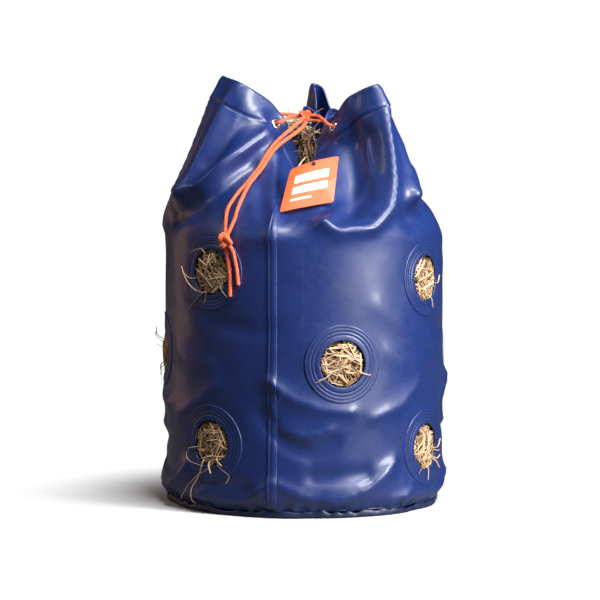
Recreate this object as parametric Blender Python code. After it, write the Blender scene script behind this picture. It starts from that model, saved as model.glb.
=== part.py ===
"""Hay feeding bag: a round tarpaulin bag with reinforced feeding holes, gathered at the mouth by a drawstring.

Frame: metres, +Z up, origin at the centre of the flat underside, front of the bag towards -Y.
Sheet coordinates: an angle A in degrees round the bag (0 at the front, growing towards +X) and a height V
measured along the fabric from its lower edge.
"""
import math

import bmesh
import bpy
import numpy as np
from mathutils import Matrix, Vector

# ---------------------------------------------------------------- driving dimensions (metres, degrees)
BAG_R = 0.250            # outer radius of the filled bag
WALL = 0.0024            # tarpaulin as modelled
FOOT_R = 0.226           # radius where the wall turns under
FOOT_H = 0.052           # height of that turn
LOW_EDGE = 0.010         # lower edge of the body sheet
SHOULDER = 0.468         # height where the gathering starts
SHEET = 0.778            # top edge of the sheet, measured along the fabric
HEM = 0.045              # depth of the folded hem
HOLE_R = 0.040           # feeding hole
PATCH_R = 0.067          # welded reinforcing ring, outer radius
PATCH_T = 0.0014
PATCH_GAP = 0.0011
ROWS_Z = {"lower": 0.118, "middle": 0.266, "upper": 0.413}
COLUMN_STEP = 43.5       # angle between neighbouring hole columns
FIRST_COLUMN = 15.2      # the middle-row hole right of the seam
ROW_TILT = 0.034         # the sheet stands a little turned, so the rows fall towards +X
SEAM_A = -12.6           # the welded vertical seam
EYELET_DROP = 0.024      # eyelet centre below the top edge
EYELET_R = 0.0100        # flange radius
EYELET_BORE = 0.0054
EYELET_BARREL = 0.0064
EYELETS_A = {"front_left": -33, "front_right": 22, "right_back": 82,
             "back_right": 142, "back_left": 202, "left_back": 262}
CORD_R = 0.0032
KNOT_R = 0.0120          # where the drawstring is tied at the mouth
KNOT_AT = (0.002, -0.047, 0.690)
END_KNOT_R = 0.0135      # overhand knot that joins the two free strands
END_KNOT_A, END_KNOT_V, END_KNOT_LIFT = 329.0, 0.4758, 0.0170
STRING_R = 0.0010
TAG_T = 0.0012
TAG = {"top_left": (-0.0235, -0.1600, 0.5920), "top_right": (0.0600, -0.1500, 0.6150),
       "low_right": (0.0495, -0.2075, 0.5380), "low_left": (-0.0420, -0.2160, 0.5190)}
TAG_BOW = 0.004          # how far the card's middle stands out
# The middle of the two free strands over the shoulder, and the two tails below their knot: angle and height.
STRANDS = [(331.0, 0.7630), (330.3, 0.7037), (331.0, 0.6590), (330.0, 0.6393), (329.5, 0.6095), (328.5, 0.5848),
           (328.0, 0.5501), (328.5, 0.5253)]
TAILS = {"left": [(329.6, 0.4500), (330.3, 0.4200), (330.6, 0.3767)],
         "right": [(332.4, 0.4500), (333.4, 0.4250), (334.2, 0.3965)]}

# Top edge of the gathered sheet: sheet angle and the point it is drawn to. Three ears stand out between the
# eyelets that the cord joins on the inside, and three valleys fold in where it crosses on the outside.
TOP_EDGE = [
    (-8, (0.003, -0.022, 0.588)), (5, (0.018, -0.032, 0.632)), (16, (0.036, -0.040, 0.672)),
    (26, (0.058, -0.072, 0.696)), (34, (0.080, -0.100, 0.721)), (52, (0.119, -0.117, 0.738)), (70, (0.116, -0.062, 0.722)),
    (87, (0.062, -0.012, 0.696)), (99, (0.044, 0.002, 0.642)), (112, (0.024, 0.014, 0.588)),
    (125, (0.032, 0.034, 0.644)), (137, (0.040, 0.052, 0.698)), (155, (0.056, 0.102, 0.730)),
    (172, (0.031, 0.150, 0.756)), (190, (0.006, 0.104, 0.732)), (208, (0.002, 0.054, 0.700)),
    (220, (-0.012, 0.034, 0.646)), (232, (-0.024, 0.012, 0.588)), (245, (-0.044, 0.000, 0.645)),
    (257, (-0.062, -0.010, 0.702)), (275, (-0.110, -0.010, 0.734)), (292, (-0.138, -0.038, 0.757)),
    (308, (-0.102, -0.086, 0.739)), (326, (-0.042, -0.046, 0.702)), (338, (-0.020, -0.034, 0.645)),
]


# ---------------------------------------------------------------- the gathered sheet
def top_edge(angle):
    """The point of the top edge at a sheet angle, on straight runs between the points above."""
    angles = [a for a, _ in TOP_EDGE] + [TOP_EDGE[0][0] + 360]
    points = [Vector(p) for _, p in TOP_EDGE] + [Vector(TOP_EDGE[0][1])]
    a = (angle - angles[0]) % 360 + angles[0]
    for i in range(len(angles) - 1):
        if a <= angles[i + 1]:
            t = (a - angles[i]) / (angles[i + 1] - angles[i])
            return points[i].lerp(points[i + 1], t)
    return points[-1]


def body_radius(z):
    """The wall turns under towards the base, then swells a little at mid height."""
    turn = max(0.0, 1 - z / FOOT_H)
    swell = 0.0015 * math.sin(math.pi * min(1.0, z / SHOULDER))
    return BAG_R - 0.0015 - (BAG_R - FOOT_R) * turn ** 2.2 + swell


def sheet_point(angle, v):
    """The sheet's outer surface at an angle and a height along the fabric."""
    out = Vector((math.sin(math.radians(angle)), -math.cos(math.radians(angle)), 0))
    if v <= SHOULDER:
        return out * body_radius(v) + Vector((0, 0, v))
    p0 = out * body_radius(SHOULDER) + Vector((0, 0, SHOULDER))
    p1 = top_edge(angle)
    run = SHEET - SHOULDER
    t = (v - SHOULDER) / run
    d0, d1 = Vector((0, 0, run * 0.62)), (p1 - p0) * 1.02
    h = (2 * t**3 - 3 * t**2 + 1, t**3 - 2 * t**2 + t, -2 * t**3 + 3 * t**2, t**3 - t**2)
    return p0 * h[0] + d0 * h[1] + p1 * h[2] + d1 * h[3]


# Grid that every piece on the sheet is laid out on: fine at the folds, one plain facet under each eyelet.
FOLD_COLUMNS = sorted({round((c + d) % 360, 3) for c in EYELETS_A.values() for d in (-5, 5)}
                 | {round((c + d) % 360, 3) for c in (52, 172, 292) for d in (-12, -3, 3, 12)}
                 | {round((c + d) % 360, 3) for c in (-8, 112, 232) for d in (-15, -9, -3, 3, 9, 15)})
COLUMNS = []
for left, right in zip(FOLD_COLUMNS, FOLD_COLUMNS[1:] + [FOLD_COLUMNS[0] + 360]):
    COLUMNS += [left] if right - left < 10.5 else [left, (left + right) / 2]
LEVELS = [LOW_EDGE, 0.024, 0.040, FOOT_H + 0.01, 0.26, SHOULDER, 0.505, 0.545, 0.590, 0.64, 0.69, SHEET - HEM, SHEET]
GRID = np.array([[sheet_point(a, v)[:] for a in COLUMNS] for v in LEVELS])


def grid_normals():
    across = np.roll(GRID, -1, 1) - np.roll(GRID, 1, 1)
    up = np.gradient(GRID, axis=0)
    n = np.cross(across, up)
    return n / np.linalg.norm(n, axis=2, keepdims=True)


NORMALS = grid_normals()
for eyelet in EYELETS_A.values():  # the hem lies flat where an eyelet is set
    here = [(i, COLUMNS.index((eyelet + d) % 360)) for i in (-2, -1) for d in (-5, 5)]
    corners = np.array([GRID[k] for k in here])
    middle = corners.mean(axis=0)
    square = np.cross(corners[1] - corners[2], corners[3] - corners[0])
    square /= np.linalg.norm(square)
    for k in here:
        GRID[k] -= square * np.dot(GRID[k] - middle, square)
        NORMALS[k] = square * np.sign(np.dot(square, NORMALS[k]))


def on_sheet(angle, v, lift=0.0):
    """A point lying on the facets of the sheet, lifted off it along its normal."""
    a = angle % 360
    n = len(COLUMNS)
    j = next((i for i in range(n) if COLUMNS[i] > a), n) - 1
    left, right = COLUMNS[j % n], COLUMNS[(j + 1) % n]
    s = ((a - left) % 360) / ((right - left) % 360)
    i = max(0, min(len(LEVELS) - 2, next((k for k in range(len(LEVELS)) if LEVELS[k] > v), len(LEVELS)) - 1))
    t = (v - LEVELS[i]) / (LEVELS[i + 1] - LEVELS[i])
    w = ((1 - s) * (1 - t), s * (1 - t), (1 - s) * t, s * t)
    ids = ((i, j % n), (i, (j + 1) % n), (i + 1, j % n), (i + 1, (j + 1) % n))
    p = sum(wk * GRID[k] for wk, k in zip(w, ids))
    m = sum(wk * NORMALS[k] for wk, k in zip(w, ids))
    return Vector(p) + Vector(m / np.linalg.norm(m)) * lift


def sheet_frame(angle, v):
    """Origin on the sheet, its outward normal and the up direction in the sheet."""
    p = on_sheet(angle, v)
    across = on_sheet(angle + 2.5, v) - on_sheet(angle - 2.5, v)
    up = on_sheet(angle, v + 0.012) - on_sheet(angle, v - 0.012)
    normal = across.cross(up).normalized()
    up = (up - normal * up.dot(normal)).normalized()
    return p, normal, up


# ---------------------------------------------------------------- helpers
def clear_scene():
    for obj in list(bpy.data.objects):
        bpy.data.objects.remove(obj, do_unlink=True)


def material(name, colour, roughness, metallic=0.0):
    found = bpy.data.materials.get(name)
    if found:
        return found
    made = bpy.data.materials.new(name)
    made.use_nodes = True
    bsdf = made.node_tree.nodes["Principled BSDF"]
    bsdf.inputs["Base Color"].default_value = (*colour, 1)
    bsdf.inputs["Roughness"].default_value = roughness
    bsdf.inputs["Metallic"].default_value = metallic
    return made


def add_object(name, verts, faces, mat, smooth=True, angle=40, helper=False):
    mesh = bpy.data.meshes.new(name)
    mesh.from_pydata([tuple(v) for v in verts], [], faces)
    bm = bmesh.new()
    bm.from_mesh(mesh)
    bmesh.ops.remove_doubles(bm, verts=bm.verts, dist=1e-6)
    bmesh.ops.recalc_face_normals(bm, faces=bm.faces)
    bm.to_mesh(mesh)
    bm.free()
    if smooth:
        mesh.shade_smooth()
        mesh.set_sharp_from_angle(angle=math.radians(angle))
    if mat:
        mesh.materials.append(mat)
    obj = bpy.data.objects.new(name, mesh)
    bpy.context.scene.collection.objects.link(obj)
    if helper:
        obj.hide_render = True
        obj.display_type = "WIRE"
    return obj


def triangulate(obj):
    bm = bmesh.new()
    bm.from_mesh(obj.data)
    bmesh.ops.triangulate(bm, faces=bm.faces)
    bm.to_mesh(obj.data)
    bm.free()


def grid_solid(name, rings, mat, closed_round=True, closed_along=False, helper=False):
    """A solid from rings of points; each ring is one row, rows are bridged, and the ends are capped unless closed_along."""
    n = len(rings[0])
    verts = [p for ring in rings for p in ring]
    faces = []
    rows = len(rings)
    for i in range(rows if closed_along else rows - 1):
        k = (i + 1) % rows
        for j in range(n if closed_round else n - 1):
            m = (j + 1) % n
            faces.append((i * n + j, i * n + m, k * n + m, k * n + j))
    if not closed_along:
        faces.append(tuple(reversed(range(n))))
        faces.append(tuple((rows - 1) * n + j for j in range(n)))
    return add_object(name, verts, faces, mat, helper=helper)


def lathe(name, profile, steps, mat, frame=None, closed=False, helper=False):
    """A turned solid: (radius, height) points from the lower axis end to the upper, or a closed loop round a ring."""
    verts, faces = [], []
    index = []
    for r, z in profile:
        if r < 1e-9:
            index.append([len(verts)] * steps)
            verts.append(Vector((0, 0, z)))
        else:
            index.append(list(range(len(verts), len(verts) + steps)))
            for k in range(steps):
                a = 2 * math.pi * k / steps
                verts.append(Vector((r * math.cos(a), r * math.sin(a), z)))
    rows = len(profile)
    for i in range(rows if closed else rows - 1):
        lo, hi = index[i], index[(i + 1) % rows]
        for k in range(steps):
            m = (k + 1) % steps
            loop = [lo[k], lo[m], hi[m], hi[k]]
            loop = [v for n, v in enumerate(loop) if v not in loop[:n]]
            if len(loop) > 2:
                faces.append(tuple(loop))
    if frame is not None:
        verts = [frame @ v for v in verts]
    return add_object(name, verts, faces, mat, helper=helper)


def frame_matrix(origin, z_axis, hint):
    z = z_axis.normalized()
    x = (hint - z * hint.dot(z)).normalized()
    y = z.cross(x)
    m = Matrix((x, y, z)).transposed().to_4x4()
    m.translation = origin
    return m


def smooth_route(points, step):
    """Points every STEP metres along a centripetal curve through the route's points."""
    pts = [Vector(p) for p in points]
    pts = [pts[0] * 2 - pts[1]] + pts + [pts[-1] * 2 - pts[-2]]
    dense = []
    for i in range(1, len(pts) - 2):
        p0, p1, p2, p3 = pts[i - 1 : i + 3]
        t = [0.0]
        for a, b in ((p0, p1), (p1, p2), (p2, p3)):
            t.append(t[-1] + max(1e-6, (b - a).length) ** 0.5)
        for k in range(24):
            u = t[1] + (t[2] - t[1]) * k / 24
            a1 = p0.lerp(p1, (u - t[0]) / (t[1] - t[0]))
            a2 = p1.lerp(p2, (u - t[1]) / (t[2] - t[1]))
            a3 = p2.lerp(p3, (u - t[2]) / (t[3] - t[2]))
            b1 = a1.lerp(a2, (u - t[0]) / (t[2] - t[0]))
            b2 = a2.lerp(a3, (u - t[1]) / (t[3] - t[1]))
            dense.append(b1.lerp(b2, (u - t[1]) / (t[2] - t[1])))
    dense.append(pts[-2])
    total = sum((b - a).length for a, b in zip(dense, dense[1:]))
    count = max(3, round(total / step))
    found, walked, want = [dense[0]], 0.0, total / count
    for a, b in zip(dense, dense[1:]):
        seg = (b - a).length
        while walked + seg >= want - 1e-9 and len(found) < count:
            found.append(a.lerp(b, (want - walked) / seg if seg else 0))
            want += total / count
        walked += seg
    found.append(dense[-1])
    return found


def cord(name, points, radius, mat, step):
    curve = bpy.data.curves.new(name, "CURVE")
    curve.dimensions = "3D"
    curve.bevel_depth = radius
    curve.bevel_resolution = 1
    curve.use_fill_caps = True
    route = smooth_route(points, step)
    spline = curve.splines.new("POLY")
    spline.points.add(len(route) - 1)
    for point, co in zip(spline.points, route):
        point.co = (*co, 1)
    curve.materials.append(mat)
    obj = bpy.data.objects.new(name, curve)
    bpy.context.scene.collection.objects.link(obj)
    return obj


def boolean(obj, other, operation):
    mod = obj.modifiers.new(other.name, "BOOLEAN")
    mod.object = other
    mod.operation = operation
    mod.solver = "EXACT"


# ---------------------------------------------------------------- pieces
def hole_places():
    """(row name, number, angle, height) of the feeding holes: middle row staggered between the other two."""
    found = []
    for k in range(8):
        a = FIRST_COLUMN + k * COLUMN_STEP
        for row in (("middle",) if k % 2 == 0 else ("upper", "lower")):
            z = ROWS_Z[row] - ROW_TILT * BAG_R * math.sin(math.radians(a))
            found.append((row, k // 2 + 1, a, z))
    return found


def pegs(name, places, radius_steps):
    """One helper holding a plain cylinder at each place: (frame, radius, length)."""
    verts, faces = [], []
    for frame, radius, length in places:
        base = len(verts)
        n = radius_steps
        for z in (0, length):
            verts += [frame @ Vector((radius * math.cos(2 * math.pi * k / n), radius * math.sin(2 * math.pi * k / n), z))
                      for k in range(n)]
        faces += [(base + k, base + (k + 1) % n, base + n + (k + 1) % n, base + n + k) for k in range(n)]
        faces += [tuple(base + k for k in reversed(range(n))), tuple(base + n + k for k in range(n))]
    return add_object(name, verts, faces, None, smooth=False, helper=True)


def build_body(tarp):
    outer = [[Vector(p) for p in row] for row in GRID]
    inner = [[Vector(p) - Vector(n) * WALL for p, n in zip(row, nrow)] for row, nrow in zip(GRID, NORMALS)]
    body = grid_solid("bag_body", outer + inner[::-1], tarp, closed_along=True)
    triangulate(body)
    places = []
    for row, k, a, z in hole_places():
        out = Vector((math.sin(math.radians(a)), -math.cos(math.radians(a)), 0))
        places.append((frame_matrix(out * (BAG_R - 0.03) + Vector((0, 0, z)), out, Vector((0, 0, 1))), HOLE_R, 0.06))
    boolean(body, pegs("cut_feeding_holes", places, 22), "DIFFERENCE")
    places = []
    for a in EYELETS_A.values():
        p, n, up = sheet_frame(a, SHEET - EYELET_DROP)
        places.append((frame_matrix(p - n * 0.0055, n, up), EYELET_BARREL + 0.0005, 0.009))
    boolean(body, pegs("cut_eyelet_holes", places, 14), "DIFFERENCE")
    return body


def build_patches(tarp):
    for row, k, a0, z0 in hole_places():
        rings = []
        for radius, lift in ((HOLE_R + 0.0006, PATCH_GAP), (HOLE_R + 0.0006, PATCH_GAP + PATCH_T),
                             (PATCH_R - 0.001, PATCH_GAP + PATCH_T), (PATCH_R, PATCH_GAP),
                             (0.5 * (HOLE_R + PATCH_R), PATCH_GAP)):
            ring = []
            for s in range(24):
                psi = 2 * math.pi * s / 24
                ring.append(on_sheet(a0 + math.degrees(radius * math.cos(psi) / BAG_R), z0 + radius * math.sin(psi), lift))
            rings.append(ring)
        grid_solid(f"hole_ring_{row}_{k}", rings, tarp, closed_along=True)


def build_seam(tarp):
    """The lap weld that closes the sheet into a tube, a narrow strip proud of it from base to hem."""
    half = 1.45
    rings = []
    for v in [0.030, 0.040] + [x for x in LEVELS if 0.05 < x < SHEET] + [SHEET - 0.004]:
        rings.append([on_sheet(SEAM_A - half, v, 0.0007), on_sheet(SEAM_A + half, v, 0.0007),
                      on_sheet(SEAM_A + half, v, 0.0017), on_sheet(SEAM_A - half, v, 0.0017)])
    grid_solid("body_seam", rings, tarp)


def build_base(tarp, welt):
    inner = WALL + 0.0020
    prof = [(0, 0.0), (FOOT_R - 0.018, 0.0)]
    for k in range(1, 5):
        t = k / 4 * math.pi / 2
        prof.append((FOOT_R - 0.018 + 0.0145 * math.sin(t), 0.0135 * (1 - math.cos(t))))
    prof += [(body_radius(0.024) - inner - 0.0006, 0.024), (body_radius(0.024) - inner - 0.0030, 0.024),
             (FOOT_R - 0.020, 0.0030), (0, 0.0030)]
    lathe("base_panel", prof, 44, tarp)
    ring = [(body_radius(0.011) + 0.0016, 0.0040), (body_radius(0.011) + 0.0034, 0.0060),
            (body_radius(0.016) + 0.0040, 0.0150), (body_radius(0.021) + 0.0018, 0.0210),
            (body_radius(0.015) + 0.0012, 0.0140)]
    lathe("base_welt", ring, 44, welt, closed=True)


def build_hay(hay):
    """The filling: packed against the wall, heaped under the gathered mouth, swelling into each feeding hole."""
    prof = [(0, 0.0035), (FOOT_R - 0.026, 0.0035), (FOOT_R - 0.010, 0.014), (0.2385, 0.034), (0.2435, 0.060),
            (0.2435, 0.440), (0.232, 0.466), (0.150, 0.512), (0.060, 0.548), (0.020, 0.564), (0.012, 0.590),
            (0.012, 0.635), (0.021, 0.690), (0.012, 0.702), (0, 0.705)]
    body = lathe("hay_fill", prof, 36, hay)
    for row, k, a, z in hole_places():
        out = Vector((math.sin(math.radians(a)), -math.cos(math.radians(a)), 0))
        m = frame_matrix(out * 0.200 + Vector((0, 0, z)), out, Vector((0, 0, 1)))
        bump = [(0, 0), (0.0365, 0), (0.0365, 0.0432), (0.030, 0.0462), (0.016, 0.0482), (0, 0.0488)]
        plug = lathe(f"swell_{row}_{k}", bump, 14, None, m, helper=True)
        boolean(body, plug, "UNION")
    return body


def build_eyelets(metal):
    for name, a in EYELETS_A.items():
        p, n, up = sheet_frame(a, SHEET - EYELET_DROP)
        m = frame_matrix(p, n, up)
        lift = 0.0009
        eyelet = [(EYELET_BORE, -0.0052), (EYELET_BARREL, -0.0052), (EYELET_BARREL, lift),
                  (EYELET_R, lift), (EYELET_R - 0.001, lift + 0.0011), (EYELET_BORE + 0.0008, lift + 0.0014),
                  (EYELET_BORE, lift + 0.0004)]
        lathe(f"eyelet_{name}", eyelet, 14, metal, m, closed=True)
        washer = [(EYELET_BARREL + 0.0004, -0.0050), (EYELET_R, -0.0046), (EYELET_R, -0.0036),
                  (EYELET_BARREL + 0.0004, -0.0036)]
        lathe(f"eyelet_washer_{name}", washer, 14, metal, m, closed=True)


def build_cords(orange):
    """The drawstring tied through the six eyelets, its two free strands, their knot and the two tails."""
    knot = Vector(KNOT_AT)
    through = {}
    for name, a in EYELETS_A.items():
        p, n, up = sheet_frame(a, SHEET - EYELET_DROP)
        through[name] = [p + n * 0.0105, p, p - n * 0.0125]
    route = [knot - Vector((KNOT_R + 0.0008, 0, 0)), knot - Vector((KNOT_R + 0.010, 0.002, 0))]
    order = ["front_left", "left_back", "back_left", "back_right", "right_back", "front_right"]
    for i, name in enumerate(order):
        route += through[name] if i % 2 == 0 else through[name][::-1]
    route += [knot + Vector((KNOT_R + 0.010, -0.002, 0)), knot + Vector((KNOT_R + 0.0008, 0, 0))]
    cord("drawstring", route, CORD_R, orange, 0.0075)

    ball = [(0, -1.0), (0.42, -0.91), (0.80, -0.58), (1.0, -0.08), (0.93, 0.34), (0.62, 0.78), (0.25, 0.97), (0, 1.0)]
    m = frame_matrix(knot, Vector((1, 0, 0)), Vector((0, 0, 1)))
    lathe("mouth_knot", [(KNOT_R * 0.97 * r, KNOT_R * z) for r, z in ball], 12, orange, m)

    low = on_sheet(END_KNOT_A, END_KNOT_V, END_KNOT_LIFT)
    normal = sheet_frame(END_KNOT_A, END_KNOT_V)[1]
    middle = [(on_sheet(a, v, 0.0058), (on_sheet(a, v, 0.01) - on_sheet(a, v)).normalized()) for a, v in STRANDS]
    for side, sign in (("left", -1), ("right", 1)):
        down = Vector((-0.25, -0.62, -0.75)).normalized()
        start = down + middle[0][1].cross(down).normalized() * sign * 0.38
        route = [knot + start.normalized() * (KNOT_R + 0.0008), knot + start.normalized() * (KNOT_R + 0.007)]
        for i in range(1, len(middle) - 1):
            along = (middle[i + 1][0] - middle[i - 1][0]).normalized()
            aside = middle[i][1].cross(along).normalized()
            route.append(middle[i][0] + aside * sign * 0.0052)
        end = ((middle[-2][0] - low).normalized() + Vector((0.79, -0.61, 0)) * sign * 0.30).normalized()
        route += [low + end * (END_KNOT_R + 0.010), low + end * (END_KNOT_R + 0.0009)]
        cord(f"free_strand_{side}", route, CORD_R, orange, 0.0085)
    m = frame_matrix(low, Vector((0, 0, 1)), normal)
    lathe("end_knot", [(END_KNOT_R * 0.98 * r, END_KNOT_R * z) for r, z in ball], 12, orange, m)
    for side, sign in (("left", -1), ("right", 1)):
        places = [on_sheet(a, v, 0.0072) for a, v in TAILS[side]]
        out = ((places[0] - low).normalized() + Vector((0.79, -0.61, 0)) * sign * 0.16).normalized()
        cord(f"cord_tail_{side}", [low + out * (END_KNOT_R + 0.0009), low + out * (END_KNOT_R + 0.008)] + places[1:],
             CORD_R, orange, 0.0075)


def tag_point(s, t, lift):
    """A point of the card: s runs left to right and t down, both 0 to 1."""
    c = {k: Vector(p) for k, p in TAG.items()}
    top, low = c["top_left"].lerp(c["top_right"], s), c["low_left"].lerp(c["low_right"], s)
    face = (c["low_left"] - c["top_right"]).cross(c["low_right"] - c["top_left"]).normalized()
    return top.lerp(low, t) + face * (lift + TAG_BOW * 4 * s * (1 - s))


def build_tag(card, orange):
    rings = []
    across = 8
    for lift_t in [(0, 0.0)] + [(k / across, None) for k in range(1, across)] + [(1, 0.0)]:
        s = lift_t[0]
        rings.append([tag_point(s, t, 0) for t in (0, 0.5, 1)] + [tag_point(s, t, TAG_T) for t in (1, 0.5, 0)])
    tag = grid_solid("tag_card", rings, card)
    hole = tag_point(0.5, 0.075, 0)
    face = (tag_point(0.5, 0.075, 1) - hole).normalized()
    m = frame_matrix(hole - face * 0.004, face, Vector((0, 0, 1)))
    triangulate(tag)
    boolean(tag, pegs("cut_tag_hole", [(m, STRING_R + 0.0014, 0.010)], 12), "DIFFERENCE")
    knot = Vector(KNOT_AT)
    down = Vector((0.45, -0.30, -0.84)).normalized()
    route = [knot + down * (KNOT_R + 0.0008), knot + down * (KNOT_R + 0.020),
             tag_point(0.5, 0.0, -0.0040) + Vector((0, 0, 0.006)), tag_point(0.5, 0.045, -0.0030), hole, hole + face * 0.005]
    cord("tag_string", route, STRING_R, orange, 0.009)
    eye = frame_matrix(hole + face * 0.0075, face, Vector((0, 0, 1)))
    lathe("tag_string_knot", [(0, -0.0016), (0.0026, -0.0014), (0.0033, 0.0003), (0.0022, 0.0022), (0, 0.0027)], 12, orange, eye)


def main():
    clear_scene()
    tarp = material("tarpaulin", (0.035, 0.065, 0.26), 0.32)
    welt = material("tarpaulin_welt", (0.02, 0.035, 0.14), 0.4)
    metal = material("nickel_plate", (0.75, 0.75, 0.76), 0.25, 1.0)
    orange = material("orange_cord", (0.95, 0.16, 0.03), 0.75)
    hay = material("hay", (0.55, 0.42, 0.22), 0.95)
    card = material("tag_card", (0.90, 0.20, 0.06), 0.6)
    build_body(tarp)
    build_patches(tarp)
    build_seam(tarp)
    build_base(tarp, welt)
    build_hay(hay)
    build_eyelets(metal)
    build_cords(orange)
    build_tag(card, orange)


if __name__ == "__main__":
    main()
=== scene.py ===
"""Looks for the hay feeding bag: glossy navy tarpaulin gathered at the mouth, welded hole rings, hay, orange cord and tag."""

import math

import bpy
import numpy as np
from mathutils import Matrix, Vector


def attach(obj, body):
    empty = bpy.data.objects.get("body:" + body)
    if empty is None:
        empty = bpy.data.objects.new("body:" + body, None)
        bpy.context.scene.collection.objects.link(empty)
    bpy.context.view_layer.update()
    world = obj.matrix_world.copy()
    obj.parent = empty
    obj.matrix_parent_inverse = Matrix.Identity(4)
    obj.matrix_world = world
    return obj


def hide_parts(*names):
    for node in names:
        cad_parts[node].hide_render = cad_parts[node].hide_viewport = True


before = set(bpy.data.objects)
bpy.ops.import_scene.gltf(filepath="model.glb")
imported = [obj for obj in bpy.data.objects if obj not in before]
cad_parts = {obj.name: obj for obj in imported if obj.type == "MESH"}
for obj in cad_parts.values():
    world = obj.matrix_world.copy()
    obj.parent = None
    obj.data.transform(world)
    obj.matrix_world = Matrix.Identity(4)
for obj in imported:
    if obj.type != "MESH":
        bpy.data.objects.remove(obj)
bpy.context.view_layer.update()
rng = np.random.default_rng(7)

# ------------------------------------------------------------------ camera
cam_data = bpy.data.cameras.new("camera")
cam = bpy.data.objects.new("camera", cam_data)
bpy.context.scene.collection.objects.link(cam)
cam_data.sensor_width = 36.0
cam_data.lens = 124.9
cam.location = (-0.0072, -3.75, 0.55)
aim = Vector((-0.0072, 0.0, 0.36)) - Vector(cam.location)
cam.rotation_euler = aim.to_track_quat("-Z", "Y").to_euler()
bpy.context.scene.camera = cam

# ------------------------------------------------------------------ dimensions, the same as the CAD's
BAG_R = 0.250
WALL = 0.0024
SKIN = 0.0012            # the real cloth
FOOT_R = 0.226
FOOT_H = 0.052
LOW_EDGE = 0.010
SHOULDER = 0.468
SHEET = 0.778
HEM = 0.045
HOLE_R = 0.040
PATCH_R = 0.067
ROWS_Z = {"lower": 0.118, "middle": 0.266, "upper": 0.413}
COLUMN_STEP = 43.5
FIRST_COLUMN = 15.2
ROW_TILT = 0.034
SEAM_A = -12.6
EYELET_DROP = 0.024
EYELET_R = 0.0100
EYELET_BORE = 0.0054
EYELETS_A = {"front_left": -33, "front_right": 22, "right_back": 82, "back_right": 142, "back_left": 202, "left_back": 262}
CORD_R = 0.0032
KNOT_R = 0.0120
KNOT_AT = (0.002, -0.047, 0.690)
END_KNOT_R = 0.0135
END_KNOT_A, END_KNOT_V, END_KNOT_LIFT = 329.0, 0.4758, 0.0170
TAG = {"top_left": (-0.0235, -0.1600, 0.5920), "top_right": (0.0600, -0.1500, 0.6150),
       "low_right": (0.0495, -0.2075, 0.5380), "low_left": (-0.0420, -0.2160, 0.5190)}
TAG_BOW = 0.004
TAG_T = 0.0012
STRANDS = [(331.0, 0.7630), (330.3, 0.7037), (331.0, 0.6590), (330.0, 0.6393), (329.5, 0.6095), (328.5, 0.5848),
           (328.0, 0.5501), (328.5, 0.5253)]
TAILS = {"left": [(329.6, 0.4500), (330.3, 0.4200), (330.6, 0.3767)],
         "right": [(332.4, 0.4500), (333.4, 0.4250), (334.2, 0.3965)]}
TOP_EDGE = [
    (-8, (0.003, -0.022, 0.588)), (5, (0.018, -0.032, 0.632)), (16, (0.036, -0.040, 0.672)),
    (26, (0.058, -0.072, 0.696)), (34, (0.080, -0.100, 0.721)), (52, (0.119, -0.117, 0.738)),
    (70, (0.116, -0.062, 0.722)),
    (87, (0.062, -0.012, 0.696)), (99, (0.044, 0.002, 0.642)), (112, (0.024, 0.014, 0.588)),
    (125, (0.032, 0.034, 0.644)), (137, (0.040, 0.052, 0.698)), (155, (0.056, 0.102, 0.730)),
    (172, (0.031, 0.150, 0.756)), (190, (0.006, 0.104, 0.732)), (208, (0.002, 0.054, 0.700)),
    (220, (-0.012, 0.034, 0.646)), (232, (-0.024, 0.012, 0.588)), (245, (-0.044, 0.000, 0.645)),
    (257, (-0.062, -0.010, 0.702)), (275, (-0.110, -0.010, 0.734)), (292, (-0.138, -0.038, 0.757)),
    (308, (-0.102, -0.086, 0.739)), (326, (-0.042, -0.046, 0.702)), (338, (-0.020, -0.034, 0.645)),
]


def unit(v):
    return v / np.maximum(np.linalg.norm(v, axis=-1, keepdims=True), 1e-12)


def smooth01(x):
    x = np.clip(x, 0, 1)
    return x * x * (3 - 2 * x)


# ------------------------------------------------------------------ the sheet as laid out
def top_edge(a):
    """The gathered top edge at sheet angles in degrees, on a smooth closed curve."""
    ang = np.array([t[0] for t in TOP_EDGE], float)
    pts = np.array([t[1] for t in TOP_EDGE], float)
    n = len(ang)
    x = (np.asarray(a, float) - ang[0]) % 360 + ang[0]
    knots = np.concatenate([ang[-2:] - 360, ang, ang[:3] + 360])
    vals = np.concatenate([pts[-2:], pts, pts[:3]])
    i = np.clip(np.searchsorted(knots, x, side="right") - 1, 1, len(knots) - 3)
    t = ((x - knots[i]) / (knots[i + 1] - knots[i]))[..., None]
    step = (knots[i + 1] - knots[i])[..., None]
    m0 = (vals[i + 1] - vals[i - 1]) / (knots[i + 1] - knots[i - 1])[..., None] * step
    m1 = (vals[i + 2] - vals[i]) / (knots[i + 2] - knots[i])[..., None] * step
    return ((2 * t**3 - 3 * t**2 + 1) * vals[i] + (t**3 - 2 * t**2 + t) * m0
            + (-2 * t**3 + 3 * t**2) * vals[i + 1] + (t**3 - t**2) * m1)


def body_radius(z):
    turn = np.maximum(0.0, 1 - z / FOOT_H)
    return BAG_R - 0.0015 - (BAG_R - FOOT_R) * turn ** 2.2 + 0.0015 * np.sin(np.pi * np.minimum(1.0, z / SHOULDER))


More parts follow.
